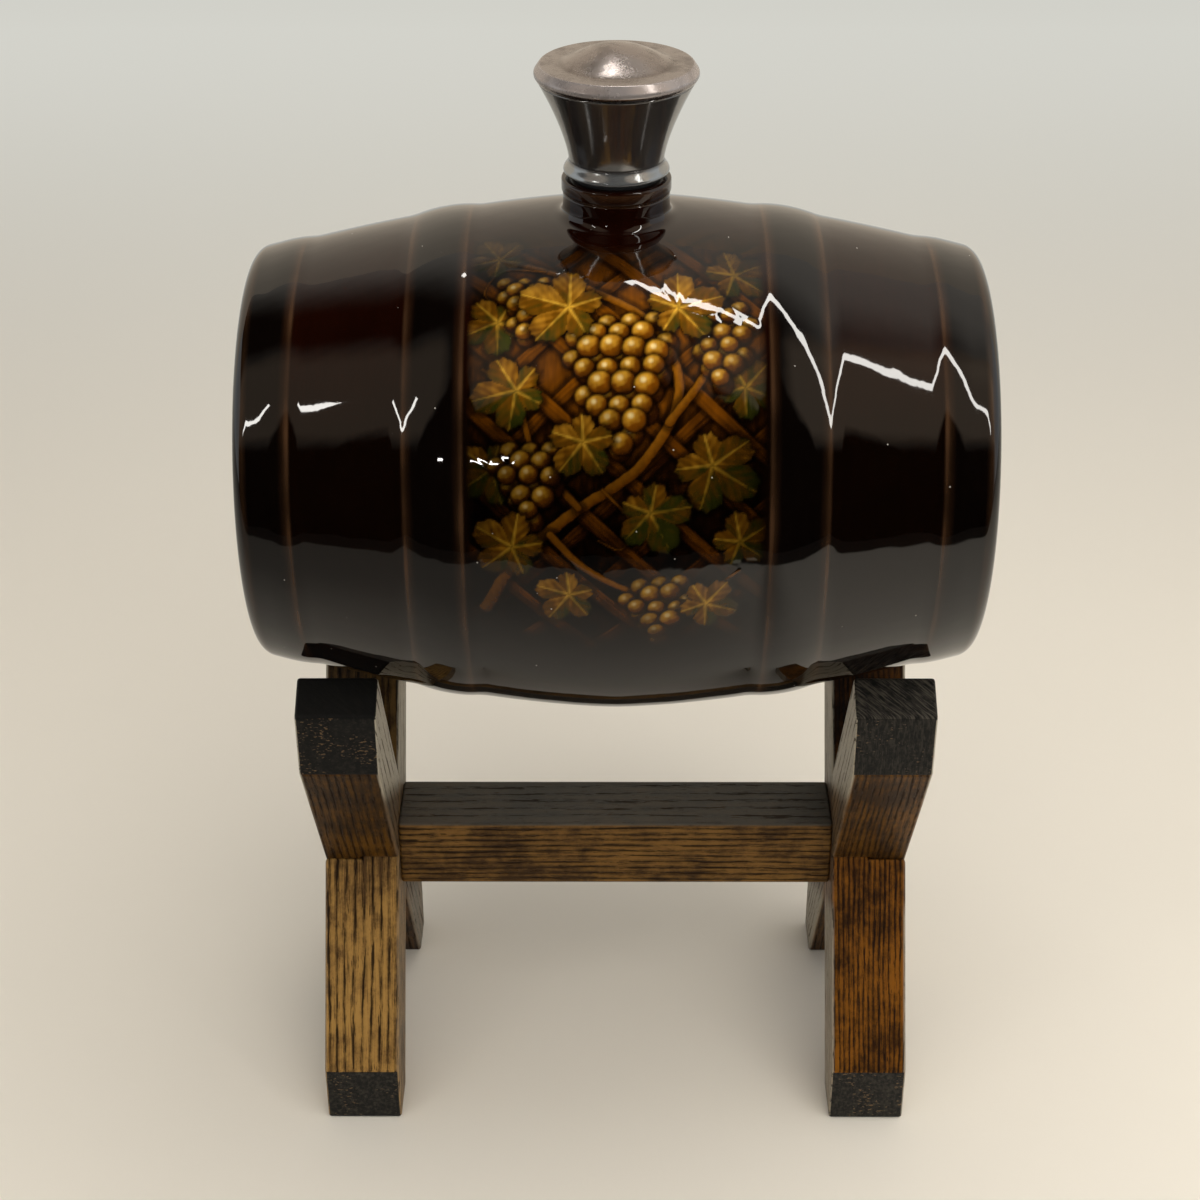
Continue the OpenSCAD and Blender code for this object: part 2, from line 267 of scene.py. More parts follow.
class StandLook(PropertyGroup):
    """Sizes and colours of the oak stand."""

    edge: length_property("Edge rounding", "Rounding of the sanded edges", 0.8)
    golden: colour_property("Golden oak", "Lightest oak, on the left foot", "ab8244")
    golden_dark: colour_property("Golden oak bands", "Darker bands of the left foot", "553c1f")
    orange: colour_property("Orange oak", "Warmer oak, on the right foot", "824f0e")
    orange_dark: colour_property("Orange oak bands", "Darker bands of the right foot", "2c1703")
    # Painted shade: the bars whose arms lean forward under the barrel get a darker copy of the oak
    shaded_brown: colour_property("Brown oak", "Darker oak of the bars that lean to the front", "654314")
    shaded_brown_dark: colour_property("Brown oak bands", "Darker bands of those bars", "2b1a08")
    rail: colour_property("Rail oak", "Oak of the stretcher", "7d5a2a")
    rail_dark: colour_property("Rail oak bands", "Darker bands of the stretcher", "3f2b15")
    pore: colour_property("Pores", "Stain held in the open pores", "1b1004")
    # grey: weathered grey with painted sheen, on the cheeks of the bars
    grey_and_sheen: colour_property("Grey oak", "Weathered grey, with painted sheen, on the cheeks of the bars", "b9b09d")
    stain: colour_property("End stain", "Black stain on the cut ends", "0e0e0d")
    dust_and_sheen: colour_property("Dust and sheen", "Dust, with painted sheen, on the upper face of the stretcher", "575752")
    end_wood_and_sheen: colour_property("End wood and sheen", "Wood that shows through the stain, and painted sheen on the saw marks", "504a40")
    chip: colour_property("Chips", "Bare wood in the chips of the cut ends", "7a6143")
    dowel: colour_property("Dowel", "Pale wood of the dowels", "b89468")


class StageLook(PropertyGroup):
    """The floor, the backdrop, the lights and the camera."""

    floor: colour_property("Floor", "Pale floor", "f0e9dc")
    wall: colour_property("Backdrop", "Pale backdrop, as it is seen", "cbcbc4")
    key: power_property("Overhead light", "Power of the soft overhead light", 6.6)
    fill: power_property("Front light", "Power of the soft front light", 1.6)
    strip: power_property("Strip light", "Power of the long narrow light", 0.6)
    sky: FloatProperty(
        name="Sky", description="Strength of the even light from all round", default=0.30, min=0
    )
    camera: FloatVectorProperty(
        name="Camera", description="Place of the camera", subtype="TRANSLATION", size=3,
        default=(-0.00133, -0.45641, 0.40495),
    )
    pitch: angle_property("Pitch", "How far the camera looks down", 30.782)
    yaw: angle_property("Yaw", "How far the camera looks to the right", -0.313)
    roll: angle_property("Roll", "How far the camera leans to the right", 0.136)


def soft(t):
    """A soft step from 0 to 1 as t runs from 0 to 1."""
    t = np.clip(t, 0, 1)
    return t * t * (3 - 2 * t)


def mixed(a, b, t):
    """Colours between a and b, by a share for each point."""
    t = np.clip(t, 0, 1)[:, None]
    return np.asarray(a) * (1 - t) + np.asarray(b) * t


def wander(u, v, step, seed):
    """A slow deterministic unevenness from -1 to 1 over points in millimetres."""
    k = 2 * math.pi / step
    first = np.sin(k * (u + 0.31 * v) + 1.7 * seed) * np.sin(k * (0.83 * v - 0.22 * u) + 2.9 * seed)
    second = np.sin(1.9 * k * (u - 0.47 * v) + 0.6 * seed) * np.sin(1.7 * k * (v + 0.39 * u) + 4.1 * seed)
    return 0.65 * first + 0.35 * second


class Value:
    """A number in a node tree. Reckoning with it adds nodes."""

    def __init__(self, bench, socket):
        self.bench = bench
        self.socket = socket

    def __add__(self, other):
        return self.bench.math("ADD", self, other)

    def __sub__(self, other):
        return self.bench.math("SUBTRACT", self, other)

    def __rsub__(self, other):
        return self.bench.math("SUBTRACT", other, self)

    def __mul__(self, other):
        return self.bench.math("MULTIPLY", self, other)

    def __truediv__(self, other):
        return self.bench.math("DIVIDE", self, other)

    def __rtruediv__(self, other):
        return self.bench.math("DIVIDE", other, self)

    def __abs__(self):
        return self.bench.math("ABSOLUTE", self)

    __radd__ = __add__
    __rmul__ = __mul__


class Bench:
    """Adds nodes to one node tree and joins them."""

    def __init__(self, tree):
        self.tree = tree

    def add(self, kind, inputs=None, **settings):
        """A new node with its settings, and its inputs set or joined."""
        node = self.tree.nodes.new(kind)
        for name, value in settings.items():
            setattr(node, name, value)
        for name, value in (inputs or {}).items():
            self.put(node.inputs[name], value)
        return node

    def values(self, kind, inputs=None, **settings):
        """The outputs of a new node by their names, to reckon with."""
        node = self.add(kind, inputs, **settings)
        return {socket.name: Value(self, socket) for socket in node.outputs}

    def put(self, socket, value):
        """Joins a socket to another one, or sets its value; a colour of three numbers gets a fourth."""
        if isinstance(value, Value):
            value = value.socket
        if isinstance(value, bpy.types.NodeSocket):
            self.tree.links.new(value, socket)
        else:
            socket.default_value = (*value, 1.0) if socket.type == "RGBA" else value

    def fill(self, inputs):
        """Sets or joins inputs of a material's shader."""
        shader = self.tree.nodes["Principled BSDF"]
        for name, value in inputs.items():
            self.put(shader.inputs[name], value)

    def math(self, operation, a, b=0.0):
        """The result of a sum on two numbers."""
        return self.values("ShaderNodeMath", {0: a, 1: b}, operation=operation)["Value"]

    def most(self, a, b):
        """The greater of two numbers."""
        return self.math("MAXIMUM", a, b)

    def vector(self, operation, a, b):
        """The result of a sum on two vectors."""
        return self.add("ShaderNodeVectorMath", {0: a, 1: b}, operation=operation).outputs[0]

    def scaled(self, vector, scale):
        """A vector, so many times as long."""
        return self.add("ShaderNodeVectorMath", {0: vector, "Scale": scale}, operation="SCALE").outputs[0]

    def turned(self, vector, turn):
        """A vector turned about X, Y and Z."""
        return self.add("ShaderNodeMapping", {"Vector": vector, "Rotation": turn}).outputs[0]

    def split(self, vector):
        """X, Y and Z of a vector, by those names."""
        return self.values("ShaderNodeSeparateXYZ", {"Vector": vector})

    def ramp(self, value, start, end, low=0.0, high=1.0):
        """A soft change from low to high as a value goes from start to end."""
        inputs = {"Value": value, "From Min": start, "From Max": end, "To Min": low, "To Max": high}
        return self.values("ShaderNodeMapRange", inputs, interpolation_type="SMOOTHSTEP")["Result"]

    def mix(self, share, a, b, blend="MIX"):
        """A colour between a and b."""
        inputs = {"Factor": share, 6: a, 7: b}
        return self.add("ShaderNodeMix", inputs, data_type="RGBA", blend_type=blend).outputs[2]

    def noise(self, place, scale, detail=3.0, roughness=0.55):
        """A cloud value over a place; a scale of three numbers stretches it."""
        if isinstance(scale, tuple):
            place, scale = self.vector("MULTIPLY", place, scale), 1.0
        inputs = {"Vector": place, "Scale": scale, "Detail": detail, "Roughness": roughness}
        return self.values("ShaderNodeTexNoise", inputs)["Fac"]

    def carried(self, name):
        """What the points of a mesh carry under a name."""
        return self.values("ShaderNodeAttribute", attribute_name=name)

    def group(self, tree, inputs):
        """The results of a shared effect, placed with its own values."""
        return self.values("ShaderNodeGroup", inputs, node_tree=tree)

    def bump(self, height, depth):
        """The normal of a height that is so many millimetres deep."""
        return self.add("ShaderNodeBump", {"Distance": depth * MM, "Height": height}).outputs["Normal"]

    def fill_from(self, effect, depth, inputs):
        """Sets the shader from a shared effect, whose height is so many millimetres deep, and from inputs."""
        self.fill({
            "Base Color": effect["Color"],
            "Roughness": effect["Roughness"],
            "Normal": self.bump(effect["Height"], depth),
            **inputs,
        })

    def seen(self, path):
        """1 for a ray by which the camera sees, straight, in gloss or through glass."""
        seen = self.most(path["Is Camera Ray"], path["Is Glossy Ray"])
        return self.most(seen, path["Is Transmission Ray"])


def new_group(name, colours, numbers):
    """An empty shared effect over a place: its tree, its bench, what it is given, and its results."""
    tree = bpy.data.node_groups.new(name, "ShaderNodeTree")
    given = {"Place": "Vector", **dict.fromkeys(colours, "Color"), **dict.fromkeys(numbers, "Float")}
    results = {"Color": "Color", "Roughness": "Float", "Height": "Float"}
    for way, sockets in (("INPUT", given), ("OUTPUT", results)):
        for label, kind in sockets.items():
            tree.interface.new_socket(name=label, in_out=way, socket_type="NodeSocket" + kind)
    bench = Bench(tree)
    return tree, bench, bench.values("NodeGroupInput"), bench.add("NodeGroupOutput").inputs


def oak_grain_group():
    """Ring-porous oak: place in millimetres with Z along the bar, the ring spacing, and its colours."""
    numbers = ("Seed", "Spacing", "Half", "Top", "Open", "Low Grey And Sheen", "High Grey And Sheen", "Rise")
    tree, bench, given, out = new_group("oak_grain", ("Light", "Dark", "Pore", "Grey And Sheen"), numbers)
    place = bench.vector("ADD", given["Place"], bench.scaled((37.0, 91.0, 173.0), given["Seed"]))
    grain = bench.scaled(place, 2.1 / given["Spacing"])
    slit = bench.noise(grain, (0.9, 0.9, 0.085), 3.0, 0.6)
    nick = bench.noise(grain, (3.2, 3.2, 0.22), 2.0, 0.5)
    fibre = bench.noise(place, (3.4, 3.4, 0.09), 4.0, 0.65)
    mottle = bench.noise(place, (0.34, 0.34, 0.26), 4.0, 0.7)
    blotch = bench.noise(place, 0.045, 2.0)

    # Year rings, and how far a point is from the middle of its ring
    bend = bench.noise(place, (0.07, 0.07, 0.011), 2.0, 0.5)
    jitter = bench.noise(place, (0.8, 0.8, 0.09), 2.0, 0.6)
    spot = bench.split(place)
    ring = (0.88 * spot["X"] + 0.47 * spot["Y"] + 3.0 * bend + 0.9 * jitter) / given["Spacing"]
    number = {"W": bench.math("FLOOR", ring)}
    year = bench.values("ShaderNodeTexWhiteNoise", number, noise_dimensions="1D")["Value"]
    off = abs(bench.math("FRACT", ring) - 0.5) + 0.12 * (fibre - 0.5)

    # Open pores: long slits in each ring, nicks that crowd beside them, and stray ones
    crowd = bench.ramp(off, 0.34, 0.06) * bench.ramp(year, 0.0, 1.0, 0.10, 0.19)
    swell = bench.ramp(slit, 0.38, 0.64, -0.06, 0.15)
    slits = bench.ramp(off - swell, 0.05, -0.05)
    nicks = bench.ramp(nick + 0.55 * crowd, 0.655, 0.70)
    pores = bench.most(slits, 0.75 * nicks)
    pores = bench.most(pores, 0.5 * bench.ramp(fibre, 0.55, 0.70))

    # Bands of colour, worn edges, the stain in the pores, and the top of the bar: painted shade where Top is
    # below 1, painted light where it is above 1
    tone = 0.55 * fibre + 0.75 * mottle + 0.85 * blotch + 0.15 * bench.ramp(off, 0.4, 0.05)
    colour = bench.mix(bench.ramp(tone, 0.86, 1.34), given["Light"], given["Dark"])
    own = bench.split(given["Place"])
    inset_x = given["Half"] - abs(own["X"])
    inset_y = given["Half"] - abs(own["Y"])
    worn = bench.ramp(bench.most(inset_x, inset_y), 1.4, 0.2) * bench.ramp(blotch, 0.40, 0.62)
    colour = bench.mix(0.4 * worn, colour, given["Light"])
    colour = bench.mix(pores * given["Open"], colour, given["Pore"])
    colour = bench.mix(1.0, colour, bench.ramp(own["Z"], 8.0, 24.0, 1.0, given["Top"]), "MULTIPLY")

    # Grey cheeks, low and high, but hardly at the crossing: weathered grey with painted sheen, and high up
    # painted light that ends along a line level across the camera's view
    low = bench.ramp(given["Rise"], -14.0, -22.0, 0.0, given["Low Grey And Sheen"])
    high = bench.ramp(given["Rise"], 10.0, 16.0, 0.15, 1.0) * given["High Grey And Sheen"]
    cheek = bench.ramp(inset_x, 0.9, 0.2) * bench.most(low, high)
    cheek = cheek * bench.ramp(pores, 0.0, 1.0, 1.0, 0.25)
    bench.put(out["Color"], bench.mix(cheek, colour, given["Grey And Sheen"]))
    bench.put(out["Roughness"], 0.25 * pores + 0.20 * fibre + 0.34)
    bench.put(out["Height"], 0.25 * fibre - pores)
    return tree


def cut_end_group():
    """A sawn end, stained black: saw marks painted light grey as sheen, and chips of bare wood."""
    tree, bench, given, out = new_group("cut_end", ("Stain", "Wood", "Chip"), ("Chips", "Marks", "Wear"))
    place = given["Place"]
    slant = bench.turned(place, (0, 0, SAW_SLANT))
    saw_marks_and_sheen = bench.ramp(bench.noise(slant, (0.22, 3.0, 0.4), 3.0, 0.6), 0.44, 0.66) * given["Marks"]
    cells = bench.noise(place, 0.9, 5.0, 0.7)
    flakes = bench.noise(place, (0.9, 2.0, 2.0), 2.0, 0.5)
    zone = bench.noise(place, 0.12, 1.0)
    limit = 0.80 - bench.ramp(zone, 0.30, 0.60) * given["Chips"]
    chips = bench.ramp(flakes - limit, 0.0, 0.07)
    # The saw marks show the lighter wood colour, painted as sheen
    colour = bench.mix(saw_marks_and_sheen, given["Stain"], given["Wood"])
    colour = bench.mix(bench.ramp(cells, 0.42, 0.72, 0.0, given["Wear"]), colour, given["Wood"])
    bench.put(out["Color"], bench.mix(0.8 * chips, colour, given["Chip"]))
    bench.put(out["Roughness"], bench.ramp(cells, 0.3, 0.7, 0.40, 0.62))
    bench.put(out["Height"], 0.5 * saw_marks_and_sheen + 0.5 * cells - chips)
    return tree


def smudge_group():
    """Rubbed and tarnished metal: place in millimetres, its colours and its range of roughness."""
    tree, bench, given, out = new_group("metal_smudge", ("Metal", "Tarnish"), ("Amount", "Low", "High"))
    cloud = bench.noise(given["Place"], 0.16, 4.0, 0.6)
    grain = bench.noise(given["Place"], 1.3, 3.0, 0.6)
    scratch = bench.noise(given["Place"], (6.0, 0.5, 0.5), 2.0)
    patch = bench.ramp(cloud, 0.42, 0.72) * given["Amount"] + 0.12 * bench.ramp(grain, 0.6, 0.8)
    worn = 0.6 * cloud + 0.4 * grain
    bench.put(out["Color"], bench.mix(patch, given["Metal"], given["Tarnish"]))
    bench.put(out["Roughness"], bench.ramp(worn, 0.3, 0.72, given["Low"], given["High"]))
    bench.put(out["Height"], 0.4 * scratch + grain)
    return tree


class Finishes:
    """Makes the materials; the effects that they share are made once."""

    def __init__(self, scene):
        self.barrel = scene.barrel_look
        self.stopper = scene.stopper_look
        self.stand = scene.stand_look
        self.stage = scene.stage_look
        self.oak_grain = bpy.data.node_groups.get("oak_grain") or oak_grain_group()
        self.cut_end = bpy.data.node_groups.get("cut_end") or cut_end_group()
        self.smudge = bpy.data.node_groups.get("metal_smudge") or smudge_group()

    def start(self, name):
        """A new material: itself, its bench and the place on the piece in millimetres."""
        material = bpy.data.materials.new(name)
        material.use_nodes = True
        bench = Bench(material.node_tree)
        place = bench.add("ShaderNodeTexCoord").outputs["Object"]
        return material, bench, bench.vector("MULTIPLY", place, (1 / MM,) * 3)

    def glaze(self):
        """Mirror-bright treacle glaze over the colours that the barrel's points carry."""
        material, bench, place = self.start("treacle_glaze")
        cloud = bench.noise(place, 0.05)
        streak = bench.noise(place, (0.9, 0.10, 0.10))
        shade = bench.ramp(0.8 * cloud + 0.5 * streak, 0.35, 0.95, 0.72, 1.28)
        colour = bench.mix(1.0, bench.carried("glaze_colour")["Color"], shade, "MULTIPLY")
        dots = bench.values("ShaderNodeTexVoronoi", {"Vector": place, "Scale": 0.24})
        pick = bench.values("ShaderNodeSeparateColor", {"Color": dots["Color"]})["Red"]
        speck = bench.ramp(dots["Distance"], 0.055, 0.03) * bench.ramp(pick, 0.62, 0.64)
        bench.fill({
            "Base Color": bench.mix(0.55 * speck, colour, SPECK),
            "Roughness": 0.4 * speck + self.barrel.gloss,
            "IOR": 1.52,
            "Normal": bench.bump(bench.noise(place, 0.22, 2.0, 0.4), 0.018),
        })
        return material

    def inside_clay(self):
        """Bare fired clay inside the barrel."""
        material, bench, place = self.start("fired_clay")
        cloud = bench.noise(place, 0.3, 4.0)
        bench.fill({
            "Base Color": bench.mix(cloud, CLAY_DARK, CLAY_LIGHT),
            "Roughness": bench.ramp(cloud, 0.3, 0.7, 0.35, 0.6),
            "Normal": bench.bump(cloud, 0.05),
        })
        return material

    def smudged(self, bench, place, metal, amount, low, high):
        """Results of the smudge over a metal."""
        given = {"Place": place, "Metal": metal, "Tarnish": self.stopper.tarnish}
        return bench.group(self.smudge, {**given, "Amount": amount, "Low": low, "High": high})

    def plated(self, name, metal, amount, low, high, crease=0.0, haze=0.0, rub=0.0):
        """Silver plate with a dull haze; its points carry where it is tarnished and where it is rubbed."""
        material, bench, place = self.start(name)
        out = self.smudged(bench, place, metal, amount, low, high)
        hollow = crease * bench.carried("crease")["Fac"]
        rubbed = bench.carried("rubbed")["Fac"]
        bench.fill_from(out, 0.006, {
            "Base Color": bench.mix(hollow, out["Color"], self.stopper.tarnish),
            "Metallic": bench.ramp(rubbed, 0.0, 1.0, 1.0 - haze, 1.0 - haze - rub),
        })
        return material

    def brass(self):
        """Dull brass of the stem, washer and nut."""
        material, bench, place = self.start("stem_brass")
        out = self.smudged(bench, place, self.stopper.brass, 0.5, 0.25, 0.5)
        bench.fill_from(out, 0.01, {"Metallic": 1.0})
        return material

    def cork(self):
        """Cork with dark upright pits."""
        material, bench, place = self.start("cork")
        cork = self.stopper.cork
        tone = bench.mix(bench.noise(place, 0.5, 4.0, 0.65), cork, tuple(0.62 * c for c in cork))
        cells = bench.values("ShaderNodeTexVoronoi", {"Vector": place, "Scale": 1.6})["Distance"]
        pits = bench.ramp(bench.noise(place, (0.75, 0.75, 0.22), 3.0, 0.6), 0.60, 0.68)
        bench.fill({
            "Base Color": bench.mix(0.85 * pits, tone, self.stopper.cork_pit),
            "Roughness": bench.ramp(cells, 0.0, 0.8, 0.75, 0.92),
            "Normal": bench.bump(0.4 * cells - pits, 0.35),
        })
        return material

    def oak(
        self, name, light, dark, centre, turn, seed, spacing,
        top=1.0, pores=0.9, low=0.0, high=0.0, dust_and_sheen=0.0,
    ):
        """Stained oak of one bar: grain, painted shade or light on its top, grey and painted sheen on its
        cheeks low and high, and dust with painted sheen.
        """
        material, bench, place = self.start(name)
        look = self.stand
        place = bench.vector("SUBTRACT", place, centre)
        spot = bench.split(place)
        out = bench.group(self.oak_grain, {
            "Place": bench.turned(place, turn),
            "Light": light, "Dark": dark, "Pore": look.pore, "Grey And Sheen": look.grey_and_sheen,
            "Seed": seed, "Spacing": spacing, "Half": STOCK / 2, "Top": top, "Open": pores,
            # Rise: height across the camera's view, along which the painted light on the high cheeks ends
            "Low Grey And Sheen": low, "High Grey And Sheen": high, "Rise": 0.51 * spot["Y"] + 0.86 * spot["Z"],
        })
        # Dust, with painted sheen, on the upper face of the rail; less of it in the pores
        dust_and_sheen_share = bench.ramp(spot["Z"], STOCK / 2 - 0.9, STOCK / 2 - 0.2, 0.0, dust_and_sheen)
        dust_and_sheen_share = dust_and_sheen_share * bench.ramp(out["Height"], -0.6, 0.0, 0.25, 1.0)
        colour = bench.mix(dust_and_sheen_share, out["Color"], look.dust_and_sheen)
        bench.fill_from(out, WOOD_DEPTH, {"Base Color": colour, "Specular IOR Level": 0.14})
        return material

    def oak_end(self, name, chips, marks, wear):
        """The cut ends of one bar."""
        material, bench, place = self.start(name)
        look = self.stand
        given = {"Place": place, "Stain": look.stain, "Wood": look.end_wood_and_sheen, "Chip": look.chip}
        out = bench.group(self.cut_end, {**given, "Chips": chips, "Marks": marks, "Wear": wear})
        bench.fill_from(out, WOOD_DEPTH, {"Specular IOR Level": 0.25})
        return material

    def sweep(self):
        """The pale floor that turns into a backdrop; far off, what is seen of it is evenly bright."""
        material, bench, place = self.start("pale_sweep")
        look = self.stage
        spot = bench.split(place)
        path = bench.values("ShaderNodeLightPath")
        gloss = path["Is Glossy Ray"]
        glow = bench.ramp(spot["Y"], 150.0, 950.0) * bench.seen(path)

        # The gloss of the object sees a dimmer floor, less so to the right, and none in front of it
        cloud = bench.noise(place, 0.004, 2.0)
        floor = bench.mix(cloud, tuple(0.97 * c for c in look.floor), look.floor)
        dim = bench.ramp(spot["X"], 20.0, 130.0, 0.62, 0.06) * bench.ramp(spot["Y"], 0.0, -250.0, 0.35, 1.0)
        dim = bench.most(dim, bench.ramp(spot["Y"], -400.0, -430.0, 0.0, 0.95))
        floor = bench.mix(gloss * dim, floor, BLACK)

        # It sees a warmer backdrop too
        warm = tuple(tint * c for tint, c in zip(WARM_TINT, look.wall))
        wall = bench.mix(gloss * bench.ramp(spot["Z"], 20.0, 160.0), look.wall, warm)
        bench.fill({
            "Base Color": bench.mix(glow, floor, BLACK),
            "Roughness": 0.6,
            "Emission Color": bench.mix(glow, BLACK, wall),
            "Emission Strength": 1.0,
        })
        return material


class Clay:
    """Collects points in millimetres and faces, and makes a mesh of them."""

    def __init__(self):
        self.blocks = []
        self.count = 0
        self.faces = []

    def add(self, points):
        """Adds points, and gives their numbers."""
        points = np.asarray(points, float).reshape(-1, 3)
        self.blocks.append(points)
        self.count += len(points)
        return np.arange(self.count - len(points), self.count)

    def quads(self, rows, keep=None):
        """Joins neighbouring closed rows of points with four-sided faces."""
        right = np.roll(rows, -1, axis=1)
        quads = np.stack([rows[:-1], right[:-1], right[1:], rows[1:]], axis=-1)
        if keep is not None:
            quads = quads[keep]
        self.faces.extend(quads.reshape(-1, 4).tolist())

    def fan(self, ring, tip):
        """Closes a ring of points on one point."""
        following = np.roll(ring, -1)
        self.faces.extend([int(a), int(b), int(tip)] for a, b in zip(ring, following))

    def points(self):
        """All points, in order."""
        return np.concatenate(self.blocks)

    def mesh(self, name, bridged=False):
        """The mesh in metres, without loose points and with its faces turned outwards."""
        mesh = bpy.data.meshes.new(name)
        mesh.from_pydata((self.points() * MM).tolist(), [], self.faces)
        made = bmesh.new()
        made.from_mesh(mesh)
        bmesh.ops.delete(made, geom=[v for v in made.verts if not v.link_faces], context="VERTS")
        if bridged:
            bmesh.ops.bridge_loops(made, edges=[e for e in made.edges if e.is_boundary])
        bmesh.ops.recalc_face_normals(made, faces=made.faces)
        for face in made.faces:
            face.smooth = True
        made.to_mesh(mesh)
        made.free()
        return mesh


def mesh_points(mesh):
    """The points of a mesh, in millimetres."""
    points = np.empty(len(mesh.vertices) * 3, np.float32)
    mesh.vertices.foreach_get("co", points)
    return points.reshape(-1, 3).astype(float) / MM


def set_points(mesh, points):
    """Moves the points of a mesh, in millimetres."""
    mesh.vertices.foreach_set("co", (points * MM).astype(np.float32).ravel())
    mesh.update()


def add_piece(name, mesh, body, stands_for, materials):
    """Places a piece on its body, in place of CAD nodes."""
    piece = bpy.data.objects.new(name, mesh)
    bpy.context.scene.collection.objects.link(piece)
    for material in materials:
        mesh.materials.append(material)
    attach(piece, body)
    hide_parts(*stands_for)
    return piece


def wall_radius(x):
    """Radius of the plain wall at a distance x from the middle of the barrel."""
    return END_R + (BELLY_R - END_R) * (1 - (np.abs(x) / HALF_LENGTH) ** BULGE)


def hoop_swell(x, edges):
    """Rise of a hoop as a share: a rounded roll between its edges, and a hollow skirt outside them."""
    x = np.abs(x)
    skirt = HOOP_SKIRT / (HOOP_SKIRT + HOOP_ROLL)
    inside = np.minimum(x - edges[0], edges[1] - x)
    roll = skirt + (1 - skirt) * (1 - (1 - np.clip(inside / HOOP_ROLL, 0, 1)) ** 2)
    hollow = skirt * np.clip(1 + inside / HOOP_SKIRT, 0, 1) ** 2
    return np.where(inside > 0, roll, hollow)


def outer_radius(x, hoop_rise):
    """Radius of the outside with its hoops."""
    swell = np.maximum(hoop_swell(x, INNER_HOOP), hoop_swell(x, END_HOOP))
    return wall_radius(x) + hoop_rise * swell


def spaced(start, end, step):
    """Even stations from start up to, but not including, end."""
    count = max(1, round((end - start) / step))
    return np.linspace(start, end, count, endpoint=False)


def outside_outline(hoop_rise):
    """Half of the outside as distance and radius, from the belly to the middle of a head."""
    edge_x = HALF_LENGTH - EDGE_R
    edge_start = edge_x + EDGE_R * math.sin(EDGE_TURN)
    side = []
    start = 0
    stations = ((INNER_HOOP[0], PANEL_STEP), (INNER_HOOP[1], HOOP_STEP), (END_HOOP[0], PLAIN_STEP))
    for hoop_edge, step in stations:
        side.append(spaced(start, hoop_edge - HOOP_SKIRT, step))
        start = hoop_edge + HOOP_SKIRT
        side.append(spaced(hoop_edge - HOOP_SKIRT, start, EDGE_STEP))
    side = np.concatenate([*side, spaced(start, edge_start, HOOP_STEP)])
    turn = np.linspace(EDGE_TURN, math.pi / 2, EDGE_STEPS)
    edge_r = outer_radius(edge_start, hoop_rise) - EDGE_R * math.cos(EDGE_TURN)
    dish_r = edge_r - HEAD_RIM
    face = np.linspace(0, 1, DISH_STEPS)[1:]
    distance = [side, edge_x + EDGE_R * np.sin(turn), HALF_LENGTH - HEAD_DISH * soft(face)]
    distance.append(np.full(len(HEAD_RINGS), HALF_LENGTH - HEAD_DISH))
    radius = [outer_radius(side, hoop_rise), edge_r + EDGE_R * np.cos(turn)]
    radius += [dish_r + (1 - face) * HEAD_DISH * 2, dish_r * HEAD_RINGS]
    return np.concatenate(distance), np.concatenate(radius)


def inside_outline():
    """Half of the hollow as distance and radius, from the middle to the far end."""
    end = HALF_LENGTH - HEAD_DISH - WALL
    fine = spaced(0, INSIDE_FINE_X, INSIDE_FINE_STEP)
    side = np.concatenate([fine, spaced(INSIDE_FINE_X, end, INSIDE_STEP), [end]])
    end_r = float(wall_radius(end) - WALL)
    distance = np.concatenate([side, np.full(len(INSIDE_RINGS), end)])
    return distance, np.concatenate([wall_radius(side) - WALL, end_r * INSIDE_RINGS])


class Shell:
    """A turned surface about the barrel's axis, with a round hole at its top in place of some faces."""

    def __init__(self, clay, outline, angles, block_x, block_turn, hole_r, rings):
        distance, radius = outline
        self.x = np.concatenate([-distance[:0:-1], distance])
        self.r = np.concatenate([radius[:0:-1], radius])
        self.clay = clay
        rows = clay.add(self.place(self.x[:, None], self.r[:, None], angles[None, :]))
        rows = rows.reshape(len(self.x), len(angles))
        middle = len(distance) - 1
        reach = int(np.searchsorted(distance[:len(distance) // 2], block_x))
        first, last = middle - reach, middle + reach
        turns = np.flatnonzero(np.abs(angles - math.pi / 2) < block_turn)
        low, high = turns[0], turns[-1]
        keep = np.ones((len(self.x) - 1, len(angles)), bool)
        keep[first:last, low:high] = False
        clay.quads(rows, keep=keep)
        for end, ring in ((0, rows[0]), (-1, rows[-1])):
            clay.fan(ring, clay.add([[self.x[end], 0, AXIS_Z]])[0])
        border = np.concatenate([
            rows[first:last, low], rows[last, low:high], rows[last:first:-1, high], rows[first, high:low:-1]
        ])
        self.rim, self.bearing = self.hole(border, hole_r, rings)

    def place(self, x, r, angle):
        """Points at a distance, a radius and an angle up from the front."""
        x, r, angle = np.broadcast_arrays(x, r, angle)
        return np.stack([x, -r * np.cos(angle), AXIS_Z + r * np.sin(angle)], axis=-1)

    def level(self, x, y):
        """Height of the surface over a point of the plan."""
        order = np.argsort(self.x)
        radius = np.interp(x, self.x[order], self.r[order])
        return AXIS_Z + np.sqrt(radius ** 2 - y ** 2)

    def hole(self, border, hole_r, rings):
        """Rings of faces from a border to a round rim; gives the rim and the bearing of its points."""
        plan = self.clay.points()[border][:, :2]
        bearing = np.arctan2(plan[:, 1], plan[:, 0])
        circle = hole_r * np.stack([np.cos(bearing), np.sin(bearing)], axis=-1)
        rows = [border]
        for share in np.linspace(0, 1, rings + 1)[1:]:
            ring = plan * (1 - share) + circle * share
            rows.append(self.clay.add(np.column_stack([ring, self.level(ring[:, 0], ring[:, 1])])))
        self.clay.quads(np.array(rows))
        return rows[-1], bearing


